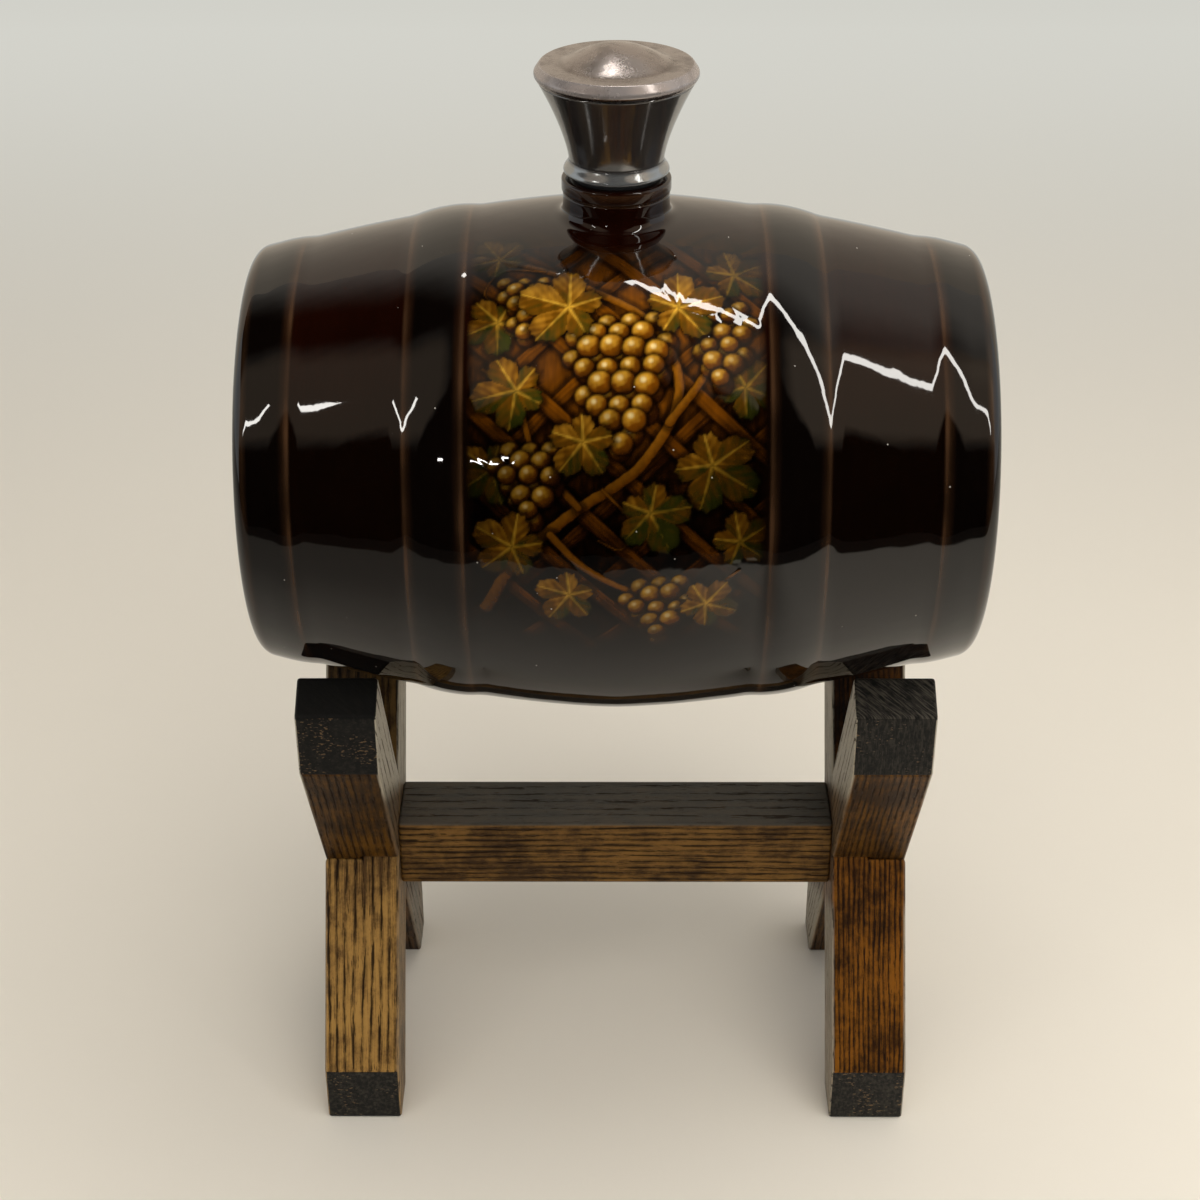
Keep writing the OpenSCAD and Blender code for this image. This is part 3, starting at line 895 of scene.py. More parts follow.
def bezier(a, b, c, d, count):
    """Points of a curve from a to d, without a itself. Each may be a column of points."""
    t = np.linspace(0, 1, count + 1)[1:, None]
    return a * (1 - t) ** 3 + 3 * b * t * (1 - t) ** 2 + 3 * c * t ** 2 * (1 - t) + d * t ** 3


def rounded(corners, steps=5):
    """An outline through corners given as radius, height and rounding."""
    points = []
    for i, (r, z, rounding) in enumerate(corners):
        here = np.array([r, z], float)
        if rounding == 0 or i in (0, len(corners) - 1):
            points.append(here)
            continue
        back = np.array(corners[i - 1][:2]) - here
        ahead = np.array(corners[i + 1][:2]) - here
        start = here + back / np.linalg.norm(back) * rounding
        end = here + ahead / np.linalg.norm(ahead) * rounding
        for t in np.linspace(0, 1, steps + 1):
            points.append(start * (1 - t) ** 2 + 2 * here * t * (1 - t) + end * t * t)
    return np.array(points)


def turned(name, outline, foot_z):
    """A mesh turned about the upright axis from a closed outline of radius and height over its foot."""
    clay = Clay()
    angle = np.linspace(0, 2 * math.pi, TURNED_SIDES, endpoint=False)
    rows = []
    for r, z in outline:
        level = np.full(TURNED_SIDES, z + foot_z)
        ring = np.stack([r * np.cos(angle), r * np.sin(angle), level], axis=-1)
        rows.append(clay.add(ring if r > ON_AXIS else [[0, 0, z + foot_z]]))
    for one, other in zip(rows, rows[1:] + rows[:1]):
        if len(one) > 1 and len(other) > 1:
            clay.quads(np.array([one, other]))
        elif len(one) > 1:
            clay.fan(one, other[0])
        elif len(other) > 1:
            clay.fan(other, one[0])
    return clay.mesh(name)


def set_value(mesh, name, values):
    """A number for each point of a mesh."""
    mesh.attributes.new(name, "FLOAT", "POINT").data.foreach_set("value", np.asarray(values, np.float32))


def set_colour(mesh, name, colours):
    """A colour for each point of a mesh."""
    colours = np.column_stack([colours, np.ones(len(colours))]).astype(np.float32)
    mesh.attributes.new(name, "FLOAT_COLOR", "POINT").data.foreach_set("color", colours.ravel())


# The vine, in millimetres along the barrel and up its front. Stems: points, width and tone. Leaves: place,
# size, turn in degrees and tone. Bunches: place, grapes in each row, their radius and tone
STEMS = (
    ([(-28, -9), (-21, 4), (-9, 15), (5, 25), (13, 40), (8, 55), (-5, 64), (-15, 70), (-24, 74)], 3.0, 0.7),
    ([(11, 34), (19, 46), (21, 60), (26, 72)], 2.2, 0.6),
    ([(-8, 16), (-17, 27), (-21, 40), (-28, 46)], 1.9, 0.6),
    ([(9, 53), (17, 57), (22, 53), (19, 48), (16, 51)], 0.9, 0.8),
    ([(-15, 70), (-24, 71), (-28, 65), (-24, 61), (-21, 65)], 0.9, 0.7),
    ([(-3, 20), (3, 13), (1, 7), (-4, 9)], 0.9, 0.8),
    ([(-14, 10), (-6, 2), (6, -4), (17, -5), (26, 1)], 2.0, 0.8),
)
BACK_LEAVES = (
    (-25, 57, 9.0, 200, 0.25), (27, 42, 8.5, -20, 0.15), (25, 70, 9.0, 35, 0.35),
    (-26, 24, 8.5, 215, 0.15), (26, 8, 8.0, 30, 0.25), (-10, -4, 8.0, 235, 0.40),
    (-25, 75, 8.0, 120, 0.30),
)
BUNCHES = (
    (-19, 67, (3, 3, 2, 2, 1), 2.3, 0.10),
    (22, 60, (3, 4, 3, 3, 2, 1), 2.3, 0.02),
    (-18, 28, (3, 4, 3, 2, 1), 2.4, 0.0),
    (9, -2, (3, 4, 3, 2, 1), 2.3, 0.12),
    (1, 56, (4, 5, 5, 4, 4, 3, 2, 1), 2.6, 0.18),
)
FRONT_LEAVES = (
    (-10, 60, 11.0, 158, 0.45), (13, 60, 10.0, 20, 0.45), (-21, 41, 9.5, 190, 0.25),
    (20, 25, 11.0, -35, 0.32), (-7, 30, 8.5, 232, 0.42), (7, 15, 9.5, -62, 0.15),
    (-22, 7, 9.5, 150, 0.35), (19, -7, 8.0, -20, 0.40),
)
FRONT_LIFT = 0.35


class Relief:
    """Height and colour of the moulded vine panel, at u along the barrel and v up its front."""

    def __init__(self, u, v, look):
        self.u = u
        self.v = v
        self.look = look
        self.height = np.zeros(len(u))
        self.colour = np.tile(np.array(look.glaze), (len(u), 1))

    def near(self, low, high):
        """Numbers of the points inside a box."""
        inside = (self.u > low[0]) & (self.u < high[0]) & (self.v > low[1]) & (self.v < high[1])
        return np.flatnonzero(inside)

    def lay(self, index, cover, colour, height, shade, rise, lift=0.0):
        """Lays one motif over what is there, with a painted shadow round it as a dark outline, and a softer
        edge to its height.
        """
        dark = shade[:, None]
        self.colour[index] = self.colour[index] * (1 - dark) + np.array(self.look.shade) * dark
        share = cover[:, None]
        self.colour[index] = self.colour[index] * (1 - share) + colour * share
        below = self.height[index] if lift == 0 else np.minimum(self.height[index], lift)
        top = np.maximum(below, height) if lift == 0 else lift + height
        self.height[index] = self.height[index] * (1 - rise) + top * rise

    def ground(self):
        """A warm ground behind the lattice, which glows in its upper half."""
        u, v, look = self.u, self.v, self.look
        glow = np.exp(-(((u - 2) / 26) ** 2) - (((v - 56) / 26) ** 2))
        brush = 0.20 * wander(u, v, 17, 2) + 0.12 * wander(3 * u, v, 9, 3)
        brush = brush + 0.10 * wander(7 * u, 0.8 * v, 11, 5)
        colour = mixed(look.ground, look.amber, 0.75 * glow + brush)
        colour = mixed(colour, look.shade, 0.80 * soft((38 - v) / 24) + 0.3 * wander(u, v, 11, 6))
        whole = np.ones(len(u))
        self.lay(np.arange(len(u)), whole, colour, 0.05 * whole, 0 * whole, whole)

    def lath(self, slope, level, tone):
        """A flat lath with its grain, across the whole panel at a slope through a level in the middle."""
        run = math.hypot(1, slope)
        across = (self.v - level - slope * self.u) / run
        along = (self.u + slope * self.v) / run
        inside = 1.6 + 0.15 * wander(along, across, 29, level) - np.abs(across)
        index = np.flatnonzero(inside > -2.0)
        across, along, inside = across[index], along[index], inside[index]
        grain = np.sin(6.0 * across + 2.4 * wander(along, 5 * across, 21, level))
        lit = tone + 0.16 * across + 0.11 * grain + 0.22 * wander(along, across, 13, level + 2)
        lit = lit - 0.30 * soft((42 - self.v[index]) / 26) - 0.06
        colour = mixed(self.look.ground, self.look.amber, lit)
        colour = mixed(colour, self.look.shade, 0.9 * (1 - soft(inside / 0.45)))
        shade = 0.75 * soft(1.2 + inside / 1.4)
        height = np.full(len(index), 0.22)
        self.lay(index, soft(inside / 0.3 + 0.5), colour, height, shade, soft(inside / 1.4 + 0.5))

    def stem(self, points, width, tone):
        """A vine stem along a curve through points, tapering to its end."""
        points = np.array(points, float)
        padded = np.vstack([2 * points[0] - points[1], points, 2 * points[-1] - points[-2]])
        line = []
        for a, b, c, d in zip(padded, padded[1:], padded[2:], padded[3:]):
            t = np.linspace(0, 1, 24, endpoint=False)[:, None]
            square = (2 * a - 5 * b + 4 * c - d) * t ** 2
            cube = (3 * b - a - 3 * c + d) * t ** 3
            line.append(0.5 * (2 * b + (c - a) * t + square + cube))
        line = np.vstack([*line, points[-1:]])
        index = self.near(line.min(0) - 4, line.max(0) + 4)
        gap = np.full(len(index), 1e3)
        side = np.zeros(len(index))
        share = np.zeros(len(index))
        for k, (p, q) in enumerate(zip(line, line[1:])):
            along = q - p
            du, dv = self.u[index] - p[0], self.v[index] - p[1]
            t = np.clip((du * along[0] + dv * along[1]) / (along @ along), 0, 1)
            off_u, off_v = du - t * along[0], dv - t * along[1]
            here = np.hypot(off_u, off_v)
            closer = here < gap
            gap = np.where(closer, here, gap)
            side = np.where(closer, off_v - 0.6 * off_u, side)
            share = np.where(closer, k / len(line), share)
        half = width / 2 * (1 - 0.45 * share) * (1 + 0.12 * wander(self.u[index], self.v[index], 5, 4))
        cover = soft((half - gap) / 0.7 + 0.5)
        round_top = np.sqrt(np.clip(1 - (gap / np.maximum(half, 0.1)) ** 2, 0, 1))
        light = 0.45 + 0.45 * side / width + 0.25 * round_top
        bark = 0.16 * wander(2.5 * self.u[index], 2.5 * self.v[index], 6, 3)
        colour = mixed(self.look.ground, self.look.amber, tone * light * 1.5 + bark)
        colour = mixed(colour, self.look.gold, 0.5 * tone * np.clip(light - 0.55, 0, 1))
        colour = mixed(colour, self.look.shade, 1 - soft((half - gap) / 0.45))
        thick = min(1, width / 1.5)
        shade = 0.65 * thick ** 2 * soft(1.4 - (gap - half) / 1.1)
        height = (0.1 + 0.5 * round_top ** 2) * thick
        self.lay(index, cover, colour, height, shade, soft((half - gap) / 1.4 + 0.5))

    def leaf(self, u, v, size, turn, tone, lift=0.0):
        """A five-lobed vine leaf with its veins; turn is the way of its tip in degrees."""
        index = self.near((u - 1.4 * size, v - 1.4 * size), (u + 1.4 * size, v + 1.4 * size))
        a = math.radians(turn)
        du, dv = self.u[index] - u, self.v[index] - v
        tip = du * math.cos(a) + dv * math.sin(a)
        side = dv * math.cos(a) - du * math.sin(a)
        side = side + 0.045 * tip * np.abs(tip) / size * math.sin(3.1 * turn)
        r = np.hypot(tip, side)
        way = np.arctan2(side, tip)
        lobes = np.abs(np.cos(2.5 * way)) ** 0.55
        length = 0.86 + 0.16 * np.cos(way) + 0.05 * np.sin(way + turn)
        teeth = 0.05 * np.abs(np.sin(9.5 * way + 0.8)) + 0.03 * np.abs(np.sin(17 * way + turn))
        reach = size * ((0.60 + 0.42 * lobes) * length - teeth)
        inside = reach - r
        cover = soft(inside / 0.3 + 0.5)
        vein = np.zeros(len(index))
        nearest = np.full(len(index), 1e3)
        chevron = np.zeros(len(index))
        shaded_half = np.zeros(len(index))
        for spoke in (-140, -70, 0, 70, 140):
            angle = way - math.radians(spoke)
            ahead = r * np.cos(angle)
            off = np.abs(r * np.sin(angle))
            width = 0.5 * np.clip(1 - 0.9 * ahead / size, 0.4, 1)
            vein = np.maximum(vein, soft(1.3 - off / width) * (ahead > 0))
            closer = np.abs(angle) < nearest
            chevron = np.where(closer, 0.5 + 0.5 * np.sin((ahead - 1.25 * off) * 2.6), chevron)
            shaded_half = np.where(closer, soft(0.5 + 4 * angle), shaded_half)
            nearest = np.where(closer, np.abs(angle), nearest)
        # lit: painted light from the upper left, with painted shade on one half of each lobe
        lit = tone + 0.34 * (dv - 0.5 * du) / size + 0.25 * wander(du, dv, 7, turn)
        lit = lit + 0.16 * chevron - 0.30 * (shaded_half - 0.5)
        colour = mixed(self.look.olive, self.look.amber, lit)
        bright = 0.8 * np.clip(lit - 0.55, 0, 1) + 0.6 * vein * np.clip(0.2 + lit, 0, 1)
        colour = mixed(colour, self.look.gold, bright)
        colour = mixed(colour, self.look.shade, 0.35 * (1 - soft(inside / (0.16 * size))))
        colour = mixed(colour, self.look.shade, 0.85 * (1 - soft((inside - 0.05) / 0.4)))
        bowl = soft(inside / (0.55 * size))
        height = 0.15 * soft(inside / 1.6) + 0.45 * bowl - 0.12 * vein * bowl
        self.lay(index, cover, colour, height, 0.7 * soft(1.2 + inside / 1.6), soft(inside / 2.2 + 0.4), lift)

    def grape(self, u, v, radius, tone):
        """One round grape, lit from its upper left."""
        reach = 1.6 * radius
        index = self.near((u - reach, v - reach), (u + reach, v + reach))
        du, dv = (self.u[index] - u) / radius, (self.v[index] - v) / radius
        r = np.hypot(du, dv)
        dome = np.sqrt(np.clip(1 - r ** 2, 0, 1))
        cover = soft((1 - r) * radius / 0.3 + 0.5)
        light = 0.62 * dome - 0.34 * du + 0.46 * dv + 0.12 * wander(self.u[index], self.v[index], 3, tone)
        colour = mixed(self.look.ground, self.look.amber, tone + 0.9 * light - 0.1)
        colour = mixed(colour, self.look.gold, 1.3 * (light - 0.50) + 0.3 * tone)
        glint = soft(1.3 - np.hypot(du + 0.28, dv - 0.36) / 0.26)
        colour = mixed(colour, self.look.cream, (0.3 + tone) * glint)
        colour = mixed(colour, self.look.shade, 0.85 * soft((r - 0.74) / 0.26))
        shade = 0.6 * soft(1.5 - (r - 0.9) * radius / 0.8)
        self.lay(index, cover, colour, 0.15 + 0.55 * dome ** 2, shade, soft((1 - r) * radius / 1.2 + 0.5))

    def bunch(self, u, v, rows, radius, tone):
        """A bunch of grapes that hangs from its top: a darker layer behind, and a lighter one before it."""
        for layer, (fewer, drop, lit) in enumerate(((0, 0.0, -0.22), (1, 0.75, 0.08))):
            for k, count in enumerate(rows):
                for i in range(count - fewer):
                    chance = math.sin(12.9 * i + 78.2 * k + 37.7 * layer + 5.1 * u)
                    off = (i - (count - fewer - 1) / 2) * 1.84 * radius + 0.20 * radius * chance
                    down = (k * 1.55 + drop) * radius + 0.22 * radius * math.sin(7.3 * i + 3.1 * k + u)
                    size = radius * (1 + 0.09 * chance)
                    own = tone + lit + 0.14 * math.sin(3.7 * i + 1.9 * k + layer)
                    self.grape(u + off, v - down, size, own)

    def lattice(self):
        """Amber laths that cross behind the vine."""
        for k in range(8):
            self.lath(0.95, 16.0 * k - 30, 0.42)
        for k in range(8):
            self.lath(-0.95, 16.0 * k - 24, 0.60)

    def vine(self):
        """The whole panel: ground, lattice, stems, bunches and leaves."""
        self.ground()
        self.lattice()
        for points, width, tone in STEMS:
            self.stem(points, width, tone)
        for leaf in BACK_LEAVES:
            self.leaf(*leaf)
        for bunch in BUNCHES:
            self.bunch(*bunch)
        for leaf in FRONT_LEAVES:
            self.leaf(*leaf, FRONT_LIFT)
        self.paint_panel_light()

    def paint_panel_light(self):
        """Paints light on the panel from above and darker towards its sides, and lets the glaze pool dark
        along its edges.
        """
        u, v = self.u, self.v
        level = 0.34 + 0.66 * soft((v - 20) / 30) + 0.12 * soft((8 - v) / 14)
        level = level * (1 - 0.85 * soft((v - 56) / 20))
        side = 1 - 0.65 * soft((np.abs(u - 1) - 17) / 15 + 0.2 * wander(u, v, 19, 9))
        self.colour *= (level * side)[:, None]
        rest = soft((np.abs(u) - 29.5) / 2.6)
        rest = np.maximum(rest, soft((PANEL_LOW + 9 - v + 3 * wander(u, v, 15, 4)) / 9))
        rest = np.maximum(rest, soft((v - PANEL_HIGH + 9) / 9))
        self.colour = mixed(self.colour, plain_glaze(self.look, v), rest)
        self.height *= 1 - rest


def plain_glaze(look, arc):
    """Colours of the bare glaze, at arc millimetres up the front."""
    return mixed(np.tile(np.array(look.glaze), (len(arc), 1)), look.high_glaze, soft((arc - 28) / 34))


def hoop_lines(x, arc):
    """Where the glaze runs thin: a line on the roll of each hoop edge and on the rim of each head."""
    x = np.abs(x)
    thin = np.zeros(len(x))
    for edge, way in ((INNER_HOOP[0], 1), (INNER_HOOP[1], -1), (END_HOOP[0], 1)):
        inward = (x - edge) * way
        sharp = soft((inward + 0.6) / 0.7)
        line = 0.6 * soft(1 - inward / THIN_LINE) + 0.4 * soft(1 - inward / THIN_FADE)
        thin = np.maximum(thin, sharp * line)
    rim = np.abs(x - (HALF_LENGTH - EDGE_R * 0.6))
    thin = np.maximum(thin, 0.5 * soft(1 - rim / 1.1))
    return thin * (0.55 + 0.40 * wander(arc, 3 * x, 37, 6))


def on_hoops(x):
    """How far a point lies on a hoop, from 0 to 1."""
    x = np.abs(x)
    inner = np.minimum(x - INNER_HOOP[0], INNER_HOOP[1] - x)
    return soft(np.maximum(inner, x - END_HOOP[0]) / THIN_FADE)


def barrel_mesh(look):
    """The hollow barrel with its hoops and its neck, as one closed mesh."""
    clay = Clay()
    fine = spaced(FINE_LOW, FINE_HIGH, FINE_TURN)
    turns = np.radians(np.concatenate([fine, spaced(FINE_HIGH, FINE_LOW + 360, COARSE_TURN)]))
    outside = Shell(
        clay, outside_outline(look.hoop_rise / MM), turns,
        block_x=22.0, block_turn=math.radians(21), hole_r=BLEND_FOOT_R, rings=20,
    )
    ring = np.stack([np.cos(outside.bearing), np.sin(outside.bearing)], axis=-1)
    clay.quads(np.array([outside.rim, *neck_rows(clay, outside, ring)]))
    Shell(
        clay, inside_outline(), np.linspace(0, 2 * math.pi, INSIDE_SIDES, endpoint=False),
        block_x=14.0, block_turn=math.radians(15), hole_r=BORE_R, rings=4,
    )
    return clay.mesh("glazed_barrel", bridged=True)


def mark_hollow(mesh):
    """Gives the faces of the hollow the second material."""
    hollow_x = HALF_LENGTH - HEAD_DISH - 0.5 * WALL
    for face in mesh.polygons:
        middle = face.center / MM
        reach = math.hypot(middle.y, middle.z - AXIS_Z)
        inside = abs(middle.x) < hollow_x and reach < wall_radius(middle.x) - 0.5 * WALL
        face.material_index = 1 if inside else 0


def build_barrel(scene, finishes):
    """Makes the barrel as one piece, with the relief and the colours of its panel, its hoops and its lip."""
    look = scene.barrel_look
    mesh = barrel_mesh(look)
    points = mesh_points(mesh)
    x = points[:, 0]
    angle = np.arctan2(points[:, 2] - AXIS_Z, -points[:, 1])
    angle = np.where(angle < -math.pi / 2, angle + 2 * math.pi, angle)
    arc = angle * BELLY_R
    depth = np.hypot(points[:, 1], points[:, 2] - AXIS_Z) - wall_radius(x)
    plan = np.where(points[:, 2] > AXIS_Z, np.hypot(x, points[:, 1]), 2 * BELLY_R)
    neck = plan < BLEND_FOOT_R - 0.01
    side = (np.abs(x) < HALF_LENGTH - 0.75 * EDGE_R) & (depth > -0.5 * WALL) & ~neck

    colours = mixed(plain_glaze(look, arc), look.hoop_glaze, on_hoops(x))
    colours = mixed(colours, look.thin_glaze, np.where(neck, lip_lines(points[:, 2]), hoop_lines(x, arc)))
    wave = wander(x, arc, 19, 7) + 0.6 * wander(x, arc, 9, 8)
    lift = wave * look.ripple / MM * soft((plan - BLEND_FOOT_R) / 3)
    on_panel = side & (np.abs(x) < PANEL_HALF + 1) & (arc > PANEL_LOW - 6) & (arc < PANEL_HIGH + 6)
    index = np.flatnonzero(on_panel)
    relief = Relief(x[index], arc[index], look)
    relief.vine()
    fade = soft((plan[index] - NECK_CLEAR + 2.5) / 5) * soft((PANEL_HALF - np.abs(x[index])) / 1.2)
    lift[index] += relief.height * fade * look.relief / MM
    colours[index] = colours[index] * (1 - fade[:, None]) + relief.colour * fade[:, None]
    outward = np.stack([np.zeros(len(points)), -np.cos(angle), np.sin(angle)], axis=-1)
    set_points(mesh, points + outward * (lift * side)[:, None])
    set_colour(mesh, "glaze_colour", colours)
    materials = [finishes.glaze(), finishes.inside_clay()]
    add_piece("glazed_barrel", mesh, "barrel", ["barrel"], materials)
    mark_hollow(mesh)


def lip_lines(z):
    """Where the glaze runs thin on the neck: under the lip and on its upper edge."""
    under = soft(1 - np.abs(z - (LIP_Z - LIP_H) - 0.1) / 0.55)
    upper = soft(1 - np.abs(z - LIP_Z + 0.7) / 0.4)
    return np.maximum(0.75 * under, 0.45 * upper)


def neck_rows(clay, outside, ring):
    """Rings of points up the neck, over its lip and down its bore."""

    def circle(radius, height):
        level = np.broadcast_to(height, (len(ring),))
        return clay.add(np.column_stack([ring * radius, level]))

    step = 0.05
    collar_top = LIP_Z - LIP_H
    collar_low = collar_top - COLLAR_H
    foot_z = outside.level(*(ring * BLEND_FOOT_R).T)
    slope = (outside.level(*(ring * (BLEND_FOOT_R + step)).T) - foot_z) / step
    run = BLEND_FOOT_R - COLLAR_R
    pull = FOOT_PULL * run
    radii = bezier(BLEND_FOOT_R, BLEND_FOOT_R - pull, COLLAR_R, COLLAR_R, BLEND_STEPS)[:, 0]
    drop = COLLAR_PULL * run
    heights = bezier(foot_z, foot_z - pull * slope, collar_low - drop, collar_low, BLEND_STEPS)
    rows = [circle(r, z) for r, z in zip(radii, heights)]
    outline = rounded([
        (COLLAR_R, collar_low, 0), (COLLAR_R, collar_top - 0.4 * GROOVE, 0.45),
        (COLLAR_R - GROOVE, collar_top, 0.3), (LIP_R, collar_top + 0.4 * GROOVE, 0.45),
        (LIP_R, LIP_Z, 0.7), (BORE_R + 0.6, LIP_Z, 0.4),
        (BORE_R, LIP_Z - 0.8, 0.4), (BORE_R, LIP_Z - 3, 0),
    ], 6)
    return rows + [circle(r, z) for r, z in outline[1:]]


def build_stopper(scene, finishes):
    """Makes the cap, the flared body, the bead ring and the cork of the stopper, and dresses its brass."""
    look = scene.stopper_look
    add_cap(look, finishes)
    add_flare(look, finishes)
    add_bead_ring(look, finishes)
    add_cork(finishes)
    brass = finishes.brass()
    for name in ("cork_stem", "cork_washer", "stem_nut"):
        dress(name, brass)


def add_cap(look, finishes):
    """The domed cap with its bevelled rim; its points carry where it is tarnished and where it is rubbed."""
    rim_r = cap_high[0]
    crease_r = rim_r - BEVEL_W
    face_z = RIM_UNDER + BEVEL_H
    edge = rounded([
        (0, 0, 0), (FLARE_TOP_R, 0, 0), (rim_r, RIM_UNDER, 0.35), (rim_r, RIM_UNDER + RIM_LAND, 0.35),
        (crease_r, face_z, 0.35), (DOME_FOOT_R + 0.6, face_z, 0),
    ], 6)
    dome_r = np.linspace(DOME_FOOT_R, 0, DOME_STEPS)
    dome_z = face_z + DOME_H * (1 - (dome_r / DOME_FOOT_R) ** 2) ** DOME_POWER
    outline = np.vstack([edge, np.column_stack([dome_r, dome_z])])
    mesh = turned("plated_cap", outline, cap_low[2])
    points = mesh_points(mesh)
    r = np.hypot(points[:, 0], points[:, 1])
    level = points[:, 2] - cap_low[2]
    hollow = np.maximum(soft(1 - np.abs(r - crease_r + 1.0) / 0.9), soft(1 - level / 0.9))
    set_value(mesh, "crease", np.maximum(hollow, 0.7 * soft(1 - np.abs(r - DOME_FOOT_R + 0.5) / 1.1)))
    band = soft((level - RIM_UNDER + 0.2) / 0.3) * soft((face_z + 0.1 - level) / 0.3)
    set_value(mesh, "rubbed", band * soft((r - crease_r + 0.6) / 0.3))
    cap = finishes.plated("worn_plate", look.plate, 0.4, 0.16, 0.38, 0.40, rub=0.5)
    add_piece("plated_cap", mesh, "stopper", ["stopper_cap"], [cap])


def add_flare(look, finishes):
    """The flared body, spun from thin sheet."""
    height = flare_high[2] - flare_low[2]
    h = np.linspace(0, 1, FLARE_STEPS)
    radius = WAIST_R + (FLARE_TOP_R - WAIST_R) * h ** FLARE_POWER
    outer = np.column_stack([radius, h * height])
    inner = np.column_stack([radius - SHEET, h * height])[::-1]
    mesh = turned("polished_flare", np.vstack([outer, inner]), flare_low[2])
    set_value(mesh, "crease", np.zeros(len(mesh.vertices)))
    flare = finishes.plated("polished_plate", look.flare, 0.2, 0.08, 0.17, haze=0.09)
    add_piece("polished_flare", mesh, "stopper", ["stopper_flare"], [flare])


def add_bead_ring(look, finishes):
    """The bead ring that rests on the lip of the neck."""
    bead_r = base_high[0]
    bead_h = base_high[2] - base_low[2]
    bulge = bead_r - WAIST_R
    turn = np.linspace(0, math.pi / 2, 14)
    low = np.column_stack([np.sin(turn), BEAD_PEAK * (1 - np.cos(turn))])
    t = np.linspace(0, 1, 20)[1:]
    high = np.column_stack([1 - soft(t), BEAD_PEAK + (1 - BEAD_PEAK) * t])
    ring = np.vstack([low, high]) * (bulge, bead_h - BEAD_FOOT_H) + (WAIST_R, BEAD_FOOT_H)
    foot = [(STEM_HOLE_R, 0), (BEAD_FOOT_R, 0), (BEAD_FOOT_R, BEAD_FOOT_H)]
    outline = np.vstack([foot, ring, [(STEM_HOLE_R, bead_h)]])
    mesh = turned("bead_ring", outline, base_low[2])
    points = mesh_points(mesh)
    # crease: tarnish, with painted shade, on the top of the bead under the flare
    set_value(mesh, "crease", soft(1 - (base_high[2] - points[:, 2]) / 0.9))
    bead = finishes.plated("bead_plate", look.bead, 0.12, 0.12, 0.24, 0.6, haze=0.22)
    add_piece("bead_ring", mesh, "stopper", ["stopper_base"], [bead])


def add_cork(finishes):
    """The tapered cork."""
    top_r = cork_high[0]
    foot_r = top_r - CORK_TAPER
    length = cork_high[2] - cork_low[2]
    outline = rounded([
        (STEM_HOLE_R, 0, 0), (foot_r, 0, 0.9), (top_r, length, 0.3), (STEM_HOLE_R, length, 0),
    ], 5)
    body = np.column_stack([np.linspace(foot_r, top_r, 20)[1:-1], np.linspace(1.0, length - 0.4, 20)[1:-1]])
    outline = np.vstack([outline[:7], body, outline[7:]])
    mesh = turned("tapered_cork", outline, cork_low[2])
    add_piece("tapered_cork", mesh, "stopper", ["cork"], [finishes.cork()])


def dress(name, material):
    """Gives a CAD node that stays in view its material."""
    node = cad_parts[name]
    for holder in node.material_slots:
        holder.material = material


class Bar(NamedTuple):
    """One bar of the stand, and how it looks."""

    hand: int  # side of the stand: -1 left, 1 right
    foot: int  # side of its foot: -1 front, 1 back
    spacing: float  # of its year rings, in millimetres
    pores: float  # how dark its pores are
    chips: float  # of bare wood on its upright cuts
    marks: float  # of the saw on its cut ends, painted light grey as sheen
    top: float  # painted shade on its upper half where below 1, painted light where above 1, with some darker stain
    low: float  # how grey its cheeks are below the crossing: weathered grey with painted sheen


BARS = {
    # The top column paints the barrel's shade on the upper half of the front-foot bars, and paints light near
    # the nose of the right back-foot bar.
    "left_leg_front_foot": Bar(-1, -1, 1.9, 0.9, 0.19, 0.3, 0.34, 0.22),
    "left_leg_back_foot": Bar(-1, 1, 1.7, 0.5, 0.23, 0.05, 0.95, 0.42),
    "right_leg_front_foot": Bar(1, -1, 1.15, 0.92, 0.21, 0.6, 0.34, 0.7),
    "right_leg_back_foot": Bar(1, 1, 1.3, 0.6, 0.175, 1.0, 1.35, 0.7),
}


def eased_copy(name, node, edge):
    """A copy of a CAD node's mesh with its long outer edges rounded."""
    made = bmesh.new()
    made.from_mesh(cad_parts[node].data)
    bmesh.ops.remove_doubles(made, verts=made.verts, dist=WELD)
    bmesh.ops.dissolve_limit(made, angle_limit=FLAT, verts=made.verts, edges=made.edges)
    long_edges = [
        e for e in made.edges
        if e.calc_length() > LONG_EDGE * MM and len(e.link_faces) == 2 and e.is_convex
        and e.calc_face_angle(0) > SHARP
    ]
    bmesh.ops.bevel(
        made, geom=long_edges, offset=edge, segments=3, profile=0.5, affect="EDGES", clamp_overlap=True
    )
    for face in made.faces:
        face.smooth = True
    mesh = bpy.data.meshes.new(name)
    made.to_mesh(mesh)
    made.free()
    return mesh


def mark_ends(mesh, way):
    """Gives the square ends of a bar the second material, and its upright cuts the third."""
    crossing = Vector((0, 0, CROSS_Z * MM))
    for face in mesh.polygons:
        off = face.center - crossing
        off.x = 0
        facing = abs(face.normal.dot(way))
        if facing > CUT_FACING and off.length > LAP_REACH * MM:
            face.material_index = 1 if facing > END_FACING else 2


